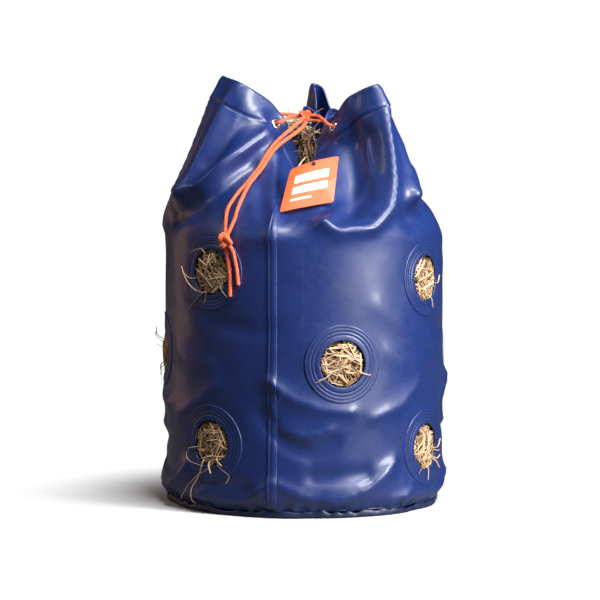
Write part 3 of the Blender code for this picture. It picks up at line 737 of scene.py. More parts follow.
def metal_material():
    mat, nt, bsdf = new_material("nickel_plate", 0.22, 1.0)
    geo = nt.nodes.new("ShaderNodeNewGeometry")
    wear = noise_tex(nt, 400.0, 4.0, 0.6, geo.outputs["Position"])
    nt.links.new(ramp(nt, wear, [(0.3, (0.62, 0.61, 0.60)), (0.7, (0.80, 0.79, 0.78))]), bsdf.inputs["Base Color"])
    r = nt.nodes.new("ShaderNodeMapRange")
    r.inputs["To Min"].default_value = 0.16
    r.inputs["To Max"].default_value = 0.34
    nt.links.new(wear, r.inputs["Value"])
    nt.links.new(r.outputs["Result"], bsdf.inputs["Roughness"])
    return mat


M_METAL = metal_material()

# ------------------------------------------------------------------ the body sheet
def sheet_uv(a, v):
    return np.stack([np.radians(a) * BAG_R, np.asarray(v, float)], -1)


def build_sheet():
    cols = 450
    a = np.arange(cols) * 360.0 / cols
    low = np.linspace(LOW_EDGE, 0.470, 96)
    high = np.linspace(0.470, SHEET, 108)[1:]
    v = np.concatenate([low, high])
    rows = len(v)
    aa, vv = np.meshgrid(a, v)
    # relief of the sheet itself: the hem's fold line and its doubled cloth, and the small puckers above the base seam
    relief = np.zeros_like(aa)
    hem_line = SHEET - HEM
    relief += 0.0012 * smooth01((vv - hem_line) / 0.0020)
    relief -= 0.0015 * np.exp(-(((vv - hem_line + 0.0014) / 0.0015) ** 2))
    rp = np.random.default_rng(9)
    pucker = sum(np.sin(np.radians(aa) * k + rp.uniform(0, 6.28)) for k in (23, 31, 37, 44, 53, 61)) / 2.4
    relief += 0.0022 * pucker * np.exp(-((vv - LOW_EDGE) / 0.013) ** 2)
    relief += 0.0005 * np.exp(-(((vv - SHEET + 0.003) / 0.003) ** 2))
    outer, normal = surf(aa, vv, relief)
    inner = surf(aa, vv)[0] - normal * (SKIN + 0.0002)
    gone = np.zeros((rows - 1, cols), bool)
    amid = a[None, :] + 180.0 / cols
    vmid = (v[1:] + v[:-1])[:, None] / 2
    for row, k, ah, zh in holes():
        d = np.hypot(np.radians((amid - ah + 180) % 360 - 180) * BAG_R, vmid - zh)
        gone |= d < 0.0505
    f = strip_faces(rows, cols).reshape(rows - 1, cols, 4)
    keep = ~gone
    top = f[keep]
    n = rows * cols
    under = f[keep][:, ::-1] + n
    # walls wherever a kept face borders a missing one or an end row
    walls = []
    for i in (0, rows - 1):
        j = np.arange(cols)
        j2 = (j + 1) % cols
        q = np.stack([i * cols + j, i * cols + j2, i * cols + j2 + n, i * cols + j + n], -1)
        walls.append(q if i else q[:, ::-1])
    ii, jj = np.nonzero(keep)
    for di, dj, c1, c2 in ((-1, 0, 0, 1), (1, 0, 2, 3), (0, 1, 1, 2), (0, -1, 3, 0)):
        i2, j2 = ii + di, (jj + dj) % cols
        inside = (i2 >= 0) & (i2 < rows - 1)
        lone = inside & gone[np.clip(i2, 0, rows - 2), j2]
        q = f[ii[lone], jj[lone]]
        walls.append(np.stack([q[:, c2], q[:, c1], q[:, c1] + n, q[:, c2] + n], -1))
    faces = np.concatenate([top, under] + walls)
    verts = np.concatenate([outer.reshape(-1, 3), inner.reshape(-1, 3)])
    used = np.unique(faces)
    remap = np.full(len(verts), -1)
    remap[used] = np.arange(len(used))
    uv = sheet_uv(aa, vv).reshape(-1, 2)
    uv = np.concatenate([uv, uv])
    return mesh_object("tarpaulin_sheet", verts[used], remap[faces], M_TARP, uvs=uv[used])


sheet = build_sheet()
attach(sheet, "bag")
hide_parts("bag_body")


# ------------------------------------------------------------------ reinforcing rings round the holes
RING_PROFILE = [(0.0670, -0.0004), (0.0671, 0.0005), (0.0668, 0.0012), (0.0660, 0.0017), (0.0645, 0.0017), (0.0626, 0.0016),
                (0.0618, 0.0013), (0.0610, 0.0016), (0.0590, 0.0016), (0.0567, 0.0016), (0.0561, 0.0012), (0.0554, 0.0011),
                (0.0547, 0.0016), (0.0530, 0.0017), (0.0509, 0.0016), (0.0502, 0.0011), (0.0495, 0.0011), (0.0488, 0.0016),
                (0.0460, 0.0018), (0.0425, 0.0018), (0.0408, 0.0017), (0.0401, 0.0012), (0.0400, -0.0008), (0.0404, -0.0020),
                (0.0420, -0.0026), (0.0560, -0.0026), (0.0575, -0.0016)]


def build_ring(row, k, a0, z0):
    n = 128
    psi = np.arange(n) * 2 * math.pi / n
    prof = np.array(RING_PROFILE)
    rr = prof[:, 0][:, None] * (1 + 0.004 * np.sin(3 * psi + k + len(row)) * (prof[:, 0][:, None] > 0.05))
    aa = a0 + np.degrees(rr * np.cos(psi)[None, :] / BAG_R)
    vv = z0 + rr * np.sin(psi)[None, :]
    wave = 0.0001 * np.sin(5 * psi + a0)[None, :] * ((prof[:, 0] > 0.060)[:, None])
    p, nrm = surf(aa, vv, np.broadcast_to(prof[:, 1][:, None], aa.shape) + wave)
    obj = mesh_object(f"ring_{row}_{k}", p.reshape(-1, 3), strip_faces(len(prof), n, closed_rows=True), M_RING,
                      uvs=sheet_uv(aa, vv).reshape(-1, 2))
    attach(obj, "bag")
    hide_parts(f"hole_ring_{row}_{k}")
    return obj


for hole in holes():
    build_ring(*hole)


# ------------------------------------------------------------------ the welded lap seam, the base and its welt
def build_strip(name, points_a, points_b, lifts, mat, node_name, uv_a, uv_v):
    rows = len(uv_v)
    cols = len(lifts)
    aa = np.broadcast_to(uv_a[None, :], (rows, cols))
    vv = np.broadcast_to(uv_v[:, None], (rows, cols))
    p, nrm = surf(aa, vv, np.broadcast_to(np.array(lifts)[None, :], (rows, cols)))
    faces = list(strip_faces(rows, cols, closed_cols=True))
    faces.append(tuple(range(cols))[::-1])
    faces.append(tuple((rows - 1) * cols + j for j in range(cols)))
    obj = mesh_object(name, p.reshape(-1, 3), faces, mat, uvs=sheet_uv(aa, vv).reshape(-1, 2))
    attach(obj, "bag")
    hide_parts(node_name)
    return obj


half = 0.0085
offs = np.array([-1.0, -0.97, -0.85, -0.55, -0.42, -0.34, -0.26, 0.0, 0.30, 0.62, 0.72, 0.80, 0.9, 1.0, 1.0, -1.0])
seam_a = SEAM_A + np.degrees(offs * half / BAG_R)
seam_lift = [0.0001, 0.0013, 0.0019, 0.0020, 0.0015, 0.0012, 0.0017, 0.0020, 0.0019, 0.0017, 0.0012, 0.0012, 0.0011, 0.0001, -0.0006, -0.0006]
build_strip("seam_weld", None, None, seam_lift, M_TARP, "body_seam", seam_a, np.linspace(0.0165, SHEET - 0.002, 260))


def build_welt():
    """The seam between wall and base: a doubled edge that stands out under the bag, drawn into small puckers."""
    n = 720
    a = np.arange(n) * 360.0 / n
    r = np.random.default_rng(5)
    pucker = sum(np.sin(np.radians(a) * k + r.uniform(0, 6.28)) / math.sqrt(len(range(30, 74, 4))) for k in range(30, 74, 4))
    slow = sum(np.sin(np.radians(a) * k + r.uniform(0, 6.28)) for k in (5, 9, 14, 21)) / 3
    edge, nrm = surf(a, np.full(n, LOW_EDGE + 0.0035))
    out = np.stack([np.sin(np.radians(a)), -np.cos(np.radians(a)), 0 * a], -1)
    base_r = np.hypot(edge[:, 0], edge[:, 1])
    prof = [(-0.0004, 0.0112), (0.0004, 0.0114), (0.0014, 0.0104), (0.0020, 0.0078), (0.0022, 0.0048), (0.0018, 0.0022), (0.0008, 0.0012),
            (-0.0006, 0.0012), (-0.0022, 0.0030), (-0.0024, 0.0080)]
    rings = []
    for k, (dr, z) in enumerate(prof):
        outer = 1.0 if dr > 0.003 else 0.35
        rr = base_r + dr + (0.0011 * pucker + 0.0018 * slow) * outer
        zz = z + (0.0030 * slow + 0.0014 * pucker) * (1.0 if z > 0.004 else 0.3)
        rings.append(out * rr[:, None] + np.array([0, 0, 1.0]) * np.maximum(zz, 0.0008)[:, None])
    v = np.array([k * 0.002 for k in range(len(prof))])
    uv = np.stack(np.broadcast_arrays(np.radians(a)[None, :] * BAG_R, v[:, None]), -1)
    # the welt's darker material is painted shade under the wall's bulge
    obj = mesh_object("base_welt_tape", np.array(rings).reshape(-1, 3), strip_faces(len(prof), n, closed_rows=True, flip=True), M_WELT_PAINTED_SHADE,
                      uvs=uv.reshape(-1, 2))
    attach(obj, "bag")
    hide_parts("base_welt")


def build_base():
    """The round bottom: its rim curls up into the welt, its underside sags flat on the floor with faint creases."""
    n, m = 240, 60
    a = np.arange(n) * 2 * math.pi / n
    low = np.hypot(*surf(np.degrees(a), np.full(n, LOW_EDGE + 0.004))[0][:, :2].T)
    verts = [[0, 0, 0.0002]]
    for k in range(1, m + 1):
        s = k / m
        r = low * s
        z = 0.0002 + 0.0125 * smooth01((s - 0.90) / 0.10) ** 1.4 + 0.0006 * np.sin(9 * a + 14 * s) * (s > 0.2) * 0.4 * (s < 0.88) + 0.0003 * (s > 0.2) * (s < 0.88)
        verts += list(np.stack([r * np.sin(a), -r * np.cos(a), np.maximum(z * np.ones(n), 0.0001)], -1))
    top0 = len(verts)
    verts.append([0, 0, 0.0030])
    for k in range(1, m + 1):
        s = k / m
        r = low * s - 0.0012
        z = 0.0030 + 0.0120 * smooth01((s - 0.90) / 0.10) ** 1.4
        verts += list(np.stack([r * np.sin(a), -r * np.cos(a), z * np.ones(n)], -1))
    faces = []
    for base, flip in ((0, True), (top0, False)):
        tri = [(base, base + 1 + j, base + 1 + (j + 1) % n) for j in range(n)]
        quads = strip_faces(m, n) + base + 1
        if flip:
            faces += [t[::-1] for t in tri] + [tuple(q[::-1]) for q in quads[:, ::-1]]
            faces[-len(quads):] = [tuple(q) for q in quads[:, ::-1]]
            faces[-len(quads) - n : -len(quads)] = [(t[0], t[2], t[1]) for t in tri]
        else:
            faces += tri + [tuple(q) for q in quads]
    e0, e1 = 1 + (m - 1) * n, top0 + 1 + (m - 1) * n
    faces += [(e0 + j, e0 + (j + 1) % n, e1 + (j + 1) % n, e1 + j) for j in range(n)]
    vv = np.array(verts)
    obj = mesh_object("base_disc", vv, faces, M_TARP, uvs=vv[:, :2])
    import bmesh
    bm = bmesh.new()
    bm.from_mesh(obj.data)
    bmesh.ops.recalc_face_normals(bm, faces=bm.faces)
    bm.to_mesh(obj.data)
    bm.free()
    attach(obj, "bag")
    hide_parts("base_panel")


build_welt()
build_base()


# ------------------------------------------------------------------ eyelets
def turned(name, profile, steps, mat, m, closed=True):
    th = np.arange(steps) * 2 * math.pi / steps
    pts = []
    for r, z in profile:
        for t in th:
            pts.append(list(m @ Vector((r * math.cos(t), r * math.sin(t), z))))
    obj = mesh_object(name, pts, strip_faces(len(profile), steps, closed_rows=closed), mat)
    import bmesh
    bm = bmesh.new()
    bm.from_mesh(obj.data)
    bmesh.ops.recalc_face_normals(bm, faces=bm.faces)
    bm.to_mesh(obj.data)
    bm.free()
    return obj


def frame_matrix(origin, z_axis, hint):
    z = Vector(z_axis).normalized()
    hint = Vector(hint)
    x = (hint - z * hint.dot(z)).normalized()
    y = z.cross(x)
    m = Matrix((x, y, z)).transposed().to_4x4()
    m.translation = Vector(origin)
    return m


for name, (p0, axis, upward) in list(eyelet_frames.items()):
    spread = [surf(EYELETS_A[name] + da, SHEET - EYELET_DROP + dv)[1] for da in (-1.6, 0, 1.6) for dv in (-0.007, 0, 0.007)]
    axis = unit(unit(axis) + unit(np.mean(spread, axis=0)))
    eyelet_frames[name] = (p0, axis, upward)
    p0 = surf(EYELETS_A[name], SHEET - EYELET_DROP)[0]
    m = frame_matrix(p0 + axis * 0.0014, axis, upward)
    m_back = frame_matrix(p0 - axis * 0.0008, axis, upward)
    flange = [(0.0054 + 0.0013 * (1 - math.cos(t)), 0.0009 + 0.0015 * math.sin(t) ** 0.8) for t in np.linspace(0.05, math.pi * 0.5, 7)]
    outer = [(0.0075, 0.0024), (0.0086, 0.0021), (0.0096, 0.0014), (0.0100, 0.0006), (0.0099, -0.0001)]
    prof = flange + outer + [(0.0066, -0.0001), (0.0063, -0.0034), (0.0060, -0.0042), (0.0053, -0.0040), (0.0051, -0.0020)]
    e = turned(f"eyelet_ring_{name}", prof, 48, M_METAL, m)
    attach(e, "bag")
    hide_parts(f"eyelet_{name}")
    back = [(0.0064, -0.0016), (0.0098, -0.0017), (0.0100, -0.0023), (0.0094, -0.0031), (0.0080, -0.0034), (0.0068, -0.0031), (0.0065, -0.0024)]
    w = turned(f"eyelet_back_ring_{name}", back, 48, M_METAL, m_back)
    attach(w, "bag")
    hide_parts(f"eyelet_washer_{name}")


# ------------------------------------------------------------------ cords
knot = np.array(KNOT_AT)
through = {}
for name, (p0, axis, upward) in eyelet_frames.items():
    p0 = surf(EYELETS_A[name], SHEET - EYELET_DROP)[0]
    through[name] = [p0 + axis * 0.0105, p0, p0 - axis * 0.0125]
route = [knot - [KNOT_R * 0.55, 0, 0], knot - [KNOT_R + 0.010, 0.002, 0.001]]
order = ["front_left", "left_back", "back_left", "back_right", "right_back", "front_right"]
for i, name in enumerate(order):
    route += through[name] if i % 2 == 0 else through[name][::-1]
route += [knot + [KNOT_R + 0.010, -0.002, -0.001], knot + [KNOT_R * 0.55, 0, 0]]
main_cord, _ = braided("drawstring_loop", smooth_route(route, 0.003), CORD_R, M_CORD)
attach(main_cord, "bag")
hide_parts("drawstring")


def knotted(name, centre, z_axis, hint, size, radius, mat, turn=0.0):
    """A tied overhand lump: one cord wound as a tight trefoil."""
    t = np.linspace(0, 2 * math.pi, 150) + turn
    x = np.sin(t) + 2 * np.sin(2 * t)
    y = np.cos(t) - 2 * np.cos(2 * t)
    z = -np.sin(3 * t)
    pts = np.stack([x * size, y * size, z * size * 1.15], -1)
    m = frame_matrix(centre, z_axis, hint)
    pts = np.array([list(m @ Vector(q)) for q in pts])
    obj, _ = braided(name, pts, radius, mat)
    return obj


mouth = knotted("mouth_knot_tied", KNOT_AT, (0.25, -0.9, 0.3), (1, 0, 0), 0.0031, 0.0034, M_CORD, 0.4)
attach(mouth, "bag")
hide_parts("mouth_knot")


def over(a, v, lift):
    return surf(a, v, lift)


low_p, low_n = surf(END_KNOT_A, END_KNOT_V, 0.0125)
low = low_p
mid_a = np.array([s[0] for s in STRANDS])
mid_v = np.array([s[1] for s in STRANDS])
mid_p, mid_n = surf(mid_a, mid_v, 0.0044)
strand_objs = {}
# the two strands run side by side, cross once below the eyelet, and part again above the end knot
spread_by = np.array([0.0034, 0.0034, 0.0033, 0.0033, 0.0036, 0.0058, 0.0096, 0.0084])
for side, sign in (("left", -1), ("right", 1)):
    down = np.array([-0.25, -0.62, -0.75])
    down /= np.linalg.norm(down)
    st = down + np.cross(mid_n[0], down) / np.linalg.norm(np.cross(mid_n[0], down)) * sign * 0.34
    st /= np.linalg.norm(st)
    pts = [knot + st * (KNOT_R * 0.55), knot + st * (KNOT_R + 0.006)]
    for i in range(1, len(STRANDS)):
        nxt = mid_p[min(i + 1, len(STRANDS) - 1)]
        along = nxt - mid_p[i - 1]
        along /= np.linalg.norm(along)
        aside = np.cross(mid_n[i], along)
        aside /= np.linalg.norm(aside)
        hump = 0.0016 * sign * (1 if i in (3, 4) else 0)
        pts.append(mid_p[i] + aside * sign * spread_by[i] + mid_n[i] * max(0.0, hump))
    end = mid_p[-1] - low
    end = end / np.linalg.norm(end) + np.array([0.79, -0.61, 0]) * sign * 0.22
    end /= np.linalg.norm(end)
    pts += [low + end * (END_KNOT_R + 0.006), low + end * (END_KNOT_R * 0.45)]
    obj, line = braided(f"strand_{side}", smooth_route(pts, 0.003), CORD_R, M_CORD)
    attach(obj, "cord_end")
    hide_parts(f"free_strand_{side}")
    strand_objs[side] = (obj, line)
    print("strand", side, "length", round(float(np.linalg.norm(np.diff(line, axis=0), axis=1).sum()), 4), "start", line[0])

end_knot = knotted("end_knot_tied", low, low_n, (0.2, 0, 1), 0.0036, 0.0042, M_CORD, 1.2)
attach(end_knot, "cord_end")
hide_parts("end_knot")

tail_lines = {}
for side, sign in (("left", -1), ("right", 1)):
    ta = np.array([t[0] for t in TAILS[side]])
    tv = np.array([t[1] for t in TAILS[side]])
    places, _ = surf(ta, tv, 0.0066)
    out = places[0] - low
    out = out / np.linalg.norm(out) + np.array([0.79, -0.61, 0]) * sign * 0.12
    out /= np.linalg.norm(out)
    obj, line = braided(f"tail_{side}", smooth_route([low + out * (END_KNOT_R * 0.5), low + out * (END_KNOT_R + 0.006)] + list(places[1:]), 0.003),
                        CORD_R, M_CORD, seal=True)
    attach(obj, "cord_end")
    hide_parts(f"cord_tail_{side}")
    tail_lines[side] = (obj, line)

for side in ("left", "right"):
    obj, line = strand_objs[side]
for side in ("left", "right"):
    obj, line = tail_lines[side]


# ------------------------------------------------------------------ the tag
def tag_material():
    mat, nt, bsdf = new_material("tag_printed_card", 0.55)
    uv = node(nt, "ShaderNodeUVMap", uv_map="cloth")
    sep = nt.nodes.new("ShaderNodeSeparateXYZ")
    nt.links.new(uv.outputs["UV"], sep.inputs[0])
    u, v = sep.outputs["X"], sep.outputs["Y"]
    geo = nt.nodes.new("ShaderNodeNewGeometry")
    paper = noise_tex(nt, 700.0, 3.0, 0.6, geo.outputs["Position"])
    ground = ramp(nt, paper, [(0.3, (0.70, 0.105, 0.026)), (0.7, (0.80, 0.135, 0.036))])
    # a plain printed panel: three pale level bars of different lengths, no lettering
    def box(u0, u1, v0, v1):
        return maths(nt, "MULTIPLY",
                     maths(nt, "MULTIPLY", maths(nt, "GREATER_THAN", u, u0), maths(nt, "LESS_THAN", u, u1)),
                     maths(nt, "MULTIPLY", maths(nt, "GREATER_THAN", v, v0), maths(nt, "LESS_THAN", v, v1)))
    bars = maths(nt, "ADD", maths(nt, "ADD", box(0.16, 0.84, 0.24, 0.42), box(0.16, 0.84, 0.50, 0.66)), box(0.16, 0.56, 0.76, 0.81))
    col = mix_colour(nt, maths(nt, "MULTIPLY", bars, 0.9), ground, (0.80, 0.74, 0.70))
    nt.links.new(col, bsdf.inputs["Base Color"])
    bump = nt.nodes.new("ShaderNodeBump")
    bump.inputs["Strength"].default_value = 0.15
    bump.inputs["Distance"].default_value = 0.0003
    nt.links.new(paper, bump.inputs["Height"])
    nt.links.new(bump.outputs["Normal"], bsdf.inputs["Normal"])
    bsdf.inputs["Coat Weight"].default_value = 0.12
    return mat


M_TAG = tag_material()
corner = {k: np.array(p) for k, p in TAG.items()}
face_n = np.cross(corner["low_left"] - corner["top_right"], corner["low_right"] - corner["top_left"])
face_n /= np.linalg.norm(face_n)


def tag_point(s, t, lift):
    top = corner["top_left"] + (corner["top_right"] - corner["top_left"]) * s
    lowp = corner["low_left"] + (corner["low_right"] - corner["low_left"]) * s
    return top + (lowp - top) * t + face_n * (lift + TAG_BOW * 4 * s * (1 - s))


def build_tag():
    ns, nt_ = 48, 52
    hs, ht, hr = 0.5, 0.075, 0.0024
    ww, hh = 0.087, 0.094
    # outline with rounded corners: clamp parameters onto a rounded rectangle
    grid = []
    for i in range(nt_ + 1):
        for j in range(ns + 1):
            s, t = j / ns, i / nt_
            x, y = (s - 0.5) * ww, (t - 0.5) * hh
            rc = 0.005
            cx, cy = max(abs(x) - (ww / 2 - rc), 0), max(abs(y) - (hh / 2 - rc), 0)
            r = math.hypot(cx, cy)
            lim = max(cx, cy)
            if r > 0 and lim > 0 and cx > 0 and cy > 0:
                k = lim / r
                x = math.copysign(ww / 2 - rc + cx * k, x)
                y = math.copysign(hh / 2 - rc + cy * k, y)
            grid.append((x / ww + 0.5, y / hh + 0.5))
    # push grid points near the punched hole onto its rim
    cells_gone = set()
    out = []
    for s, t in grid:
        dx, dy = (s - hs) * ww, (t - ht) * hh
        r = math.hypot(dx, dy)
        if 1e-9 < r < 0.0034:
            k = max(hr, r) / r if r < hr else 1.0
            s, t = hs + dx * k / ww, ht + dy * k / hh
        out.append((s, t))
    curl = lambda s, t: 0.0022 * math.sin(3.0 * t + 1.2) * (0.4 + s) + 0.0010 * math.sin(5 * s + 2 * t)
    verts, uvs = [], []
    for lift in (0.0, TAG_T * 0.45):
        for s, t in out:
            verts.append(tag_point(s, t, lift + curl(s, t)))
            uvs.append((s, t))
    n = len(out)
    faces = []
    w = ns + 1

    def dropped(i, j):
        cs = [grid[i * w + j], grid[i * w + j + 1], grid[(i + 1) * w + j], grid[(i + 1) * w + j + 1]]
        mx = sum(c[0] for c in cs) / 4
        my = sum(c[1] for c in cs) / 4
        return math.hypot((mx - hs) * ww, (my - ht) * hh) < hr * 0.8

    quads = {}
    for i in range(nt_):
        for j in range(ns):
            if not dropped(i, j):
                quads[(i, j)] = (i * w + j, i * w + j + 1, (i + 1) * w + j + 1, (i + 1) * w + j)
    for (i, j), q in quads.items():
        faces.append(tuple(k + n for k in q[::-1]))
        faces.append(q)
        for di, dj, c1, c2 in ((-1, 0, 0, 1), (1, 0, 2, 3), (0, 1, 1, 2), (0, -1, 3, 0)):
            if (i + di, j + dj) not in quads:
                faces.append((q[c2], q[c1], q[c1] + n, q[c2] + n))
    obj = mesh_object("tag_panel", verts, faces, M_TAG, uvs=uvs)
    import bmesh
    bm = bmesh.new()
    bm.from_mesh(obj.data)
    bmesh.ops.recalc_face_normals(bm, faces=bm.faces)
    bm.to_mesh(obj.data)
    bm.free()
    obj.data.set_sharp_from_angle(angle=math.radians(40))
    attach(obj, "tag")
    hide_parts("tag_card")


build_tag()
hole_c = tag_point(0.5, 0.075, 0)
down = np.array([0.45, -0.30, -0.84])
down /= np.linalg.norm(down)
string_pts = [knot + down * KNOT_R * 0.5, knot + down * (KNOT_R + 0.020), tag_point(0.5, 0.0, -0.0040) + [0, 0, 0.006],
              tag_point(0.5, 0.045, -0.0030), hole_c + face_n * 0.001, hole_c + face_n * 0.0052]
string_obj, string_line = braided("tag_thread", smooth_route(string_pts, 0.002), 0.0009, M_THREAD, around=10)
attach(string_obj, "tag")
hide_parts("tag_string")
thread_knot = knotted("tag_thread_knot", hole_c + face_n * 0.0058, face_n, (0, 0, 1), 0.0009, 0.0010, M_THREAD)
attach(thread_knot, "tag")
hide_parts("tag_string_knot")


# ------------------------------------------------------------------ hay
def hay_core():
    """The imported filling: a lumpy body just inside the cloth that swells into every feeding hole."""
    n, m = 300, 190
    phi = np.arange(n) * 2 * math.pi / n
    zs = np.concatenate([np.linspace(0.0045, 0.44, 150), np.linspace(0.443, 0.5655, 40)])
    pts = []
    for z in zs:
        r = hay_radius(phi, np.full(n, z)) - 0.0008
        turn = max(0.0, 1 - (z - 0.004) / 0.05)
        r = np.minimum(r, FOOT_R - 0.004 + 0.02 * (1 - turn ** 2.2))
        swell = np.zeros(n)
        for row, k, a, zh in holes():
            d = np.hypot(((np.degrees(phi) - a + 180) % 360 - 180) * math.pi / 180 * BAG_R, z - zh)
            swell = np.maximum(swell, 0.0015 * np.clip(1 - (d / 0.036) ** 2, 0, 1) ** 0.5 + 0.0012 * (d < 0.036))
        r = np.maximum(r, 0.004) + swell
        pts.append(np.stack([r * np.sin(phi), -r * np.cos(phi), np.full(n, z)], -1))
    pts = np.array(pts)
    rows = len(zs)
    verts = np.concatenate([pts.reshape(-1, 3), [[0, 0, zs[0]]], [[0, 0, zs[-1]]]])
    faces = [tuple(q) for q in strip_faces(rows, n)]
    faces += [(rows * n, (j + 1) % n, j) for j in range(n)]
    faces += [(rows * n + 1, (rows - 1) * n + j, (rows - 1) * n + (j + 1) % n) for j in range(n)]
    # the core's darkened hay colours are painted shade behind the stalks in the holes; the tone varies at random within
    # them
    r = np.random.default_rng(3)
    tone = r.uniform(0, 1, len(verts))
    obj = mesh_object("hay_packed_core", verts, faces, M_HAY_CORE_PAINTED_SHADE, attrs={"tone": tone})
    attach(obj, "bag")
    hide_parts("hay_fill")
    return obj


hay_core()


class Straws:
    """Collects stalks, each a thin bent four-sided blade, into one mesh."""

    def __init__(self, seed):
        self.r = np.random.default_rng(seed)
        self.v, self.f, self.tone = [], [], []
        self.n = 0

    def add(self, pts, width, tone, flat=0.45):
        pts = np.asarray(pts, float)
        k = len(pts)
        t, x, y = transported(pts)
        spin = self.r.uniform(0, 6.28)
        cx = x * math.cos(spin) + y * math.sin(spin)
        cy = -x * math.sin(spin) + y * math.cos(spin)
        taper = np.ones(k)
        taper[0] = 0.7
        taper[-1] = self.r.uniform(0.25, 0.9)
        w = (width / 2 * taper)[:, None]
        ring = np.stack([pts + cx * w, pts + cy * w * flat, pts - cx * w, pts - cy * w * flat], 1)
        self.v.append(ring.reshape(-1, 3))
        f = strip_faces(k, 4) + self.n
        self.f += [tuple(q) for q in f]
        self.f += [tuple(self.n + i for i in (3, 2, 1, 0)), tuple(self.n + (k - 1) * 4 + i for i in (0, 1, 2, 3))]
        shade = np.clip(tone + self.r.normal(0, 0.04, (k, 1)) * np.ones((1, 4)), 0, 1)
        self.tone.append(shade.ravel())
        self.n += 4 * k

    def build(self, name, body="bag"):
        obj = mesh_object(name, np.concatenate(self.v), self.f, M_HAY, attrs={"tone": np.concatenate(self.tone)})
        obj.data.set_sharp_from_angle(angle=math.radians(50))
        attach(obj, body)
        return obj


def bent(start, direction, bend, length, k, r, curl=1.0):
    """A stalk's line: from START along DIRECTION, turning steadily towards BEND."""
    d = unit(np.asarray(direction, float))
    b = np.asarray(bend, float)
    pts = [np.asarray(start, float)]
    for _ in range(k - 1):
        d = unit(d + b * curl / (k - 1) + r.normal(0, 0.05, 3))
        pts.append(pts[-1] + d * length / (k - 1))
    return np.array(pts)


def fill_hole(straws, a0, z0, seed):
    r = np.random.default_rng(seed)
    centre_n = np.array([math.sin(math.radians(a0)), -math.cos(math.radians(a0)), 0.0])
    east = np.array([math.cos(math.radians(a0)), math.sin(math.radians(a0)), 0.0])
    up = np.array([0, 0, 1.0])
    main = r.uniform(0, math.pi)
    for k in range(190):
        depth = r.uniform(0, 1) ** 1.3
        ang = main + r.normal(0, 0.75) + (r.uniform(0, math.pi) if r.uniform() < 0.3 else 0)
        rad = 0.040 * r.uniform(0, 1) ** 0.45
        th = r.uniform(0, 2 * math.pi)
        c = np.array([rad * math.cos(th), rad * math.sin(th)])
        length = r.uniform(0.022, 0.070)
        n = 7
        s = np.linspace(-0.5, 0.5, n) * length
        curve = r.normal(0, 1.8)
        x = c[0] + s * math.cos(ang) - curve * s**2 * math.sin(ang)
        y = c[1] + s * math.sin(ang) + curve * s**2 * math.cos(ang)
        rr = np.hypot(x, y)
        keep = rr < 0.0398
        if keep.sum() < 3:
            continue
        # stalks dive under the rim at the edge of the hole
        lift = -0.0006 - 0.009 * depth + 0.0042 * (1 - depth) * np.clip(1 - (rr / 0.040) ** 2, 0, 1) + r.normal(0, 0.0007)
        dive = -0.003 * smooth01((rr - 0.0375) / 0.0025)
        idx = np.nonzero(keep)[0]
        lo, hi = idx[0], idx[-1]
        x, y, rr, lift, dive = x[lo : hi + 1], y[lo : hi + 1], rr[lo : hi + 1], lift[lo : hi + 1], dive[lo : hi + 1]
        p, nn = surf(a0 + np.degrees(x / BAG_R), z0 + y, lift + dive)
        # stalks lying deeper in the hole get a darker tone: painted shade under the stalks above them, on top of a
        # random spread of tone
        tone = np.clip(0.18 + 0.75 * (1 - depth) + r.normal(0, 0.16), 0, 1)
        straws.add(p, r.uniform(0.0015, 0.0042) * (0.6 if r.uniform() < 0.45 else 1.0), tone)


hole_straws = Straws(21)
for idx, (row, k, a0, z0) in enumerate(holes()):
    fill_hole(hole_straws, a0, z0, 100 + idx)
hs_obj = hole_straws.build("hay_in_holes")

# stray stalks that stand out of the holes, as (hole, start offset, end offset, how far the end stands off)
stray = Straws(33)
r = np.random.default_rng(44)
places = {(row, k): (a, z) for row, k, a, z in holes()}


def stray_stalk(row, k, start, end, off, width=0.0014, tone=0.7, sag=0.006):
    a0, z0 = places[(row, k)]
    u = np.linspace(0, 1, 12)
    x = start[0] + (end[0] - start[0]) * u
    y = start[1] + (end[1] - start[1]) * u - sag * 4 * u * (1 - u) * 0.5
    lift = -0.006 + (off + 0.0075) * smooth01(u * 2.2)
    lift = np.maximum(lift, np.where(np.hypot(x, y) > 0.036, 0.0034, -0.01))
    p, _ = surf(a0 + np.degrees(x / BAG_R), z0 + y, lift)
    stray.add(p, width, tone)


for idx, (row, k, a0, z0) in enumerate(holes()):
    for _ in range(3):
        th = r.uniform(math.pi * 1.05, math.pi * 1.95)
        s = (0.020 * math.cos(th), 0.020 * math.sin(th))
        e = (0.050 * math.cos(th) + r.normal(0, 0.008), 0.048 * math.sin(th) - abs(r.normal(0, 0.006)))
        stray_stalk(row, k, s, e, r.uniform(0.003, 0.008), r.uniform(0.0013, 0.0021), r.uniform(0.45, 0.9))


def stray_run(row, k, points, off, width=0.0020, tone=0.8):
    """A stray stalk through points given in metres from the hole's middle, standing OFF the ring at its free end."""
    a0, z0 = places[(row, k)]
    pts = np.array(points, float)
    t = np.linspace(0, len(pts) - 1, 16)
    i = np.clip(t.astype(int), 0, len(pts) - 2)
    f = (t - i)[:, None]
    prev, nxt = pts[np.maximum(i - 1, 0)], pts[np.minimum(i + 2, len(pts) - 1)]
    c = 0.5 * (2 * pts[i] + (pts[i + 1] - prev) * f + (2 * prev - 5 * pts[i] + 4 * pts[i + 1] - nxt) * f**2
               + (3 * pts[i] - prev - 3 * pts[i + 1] + nxt) * f**3)
    x, y = c[:, 0], c[:, 1]
    u = np.linspace(0, 1, 16)
    lift = -0.005 + (off + 0.0055) * smooth01(u * 2.0)
    lift = np.maximum(lift, np.where(np.hypot(x, y) > 0.036, 0.0036, -0.01))
    p, _ = surf(a0 + np.degrees(x / BAG_R), np.maximum(z0 + y, 0.014), lift)
    stray.add(p, width, tone)


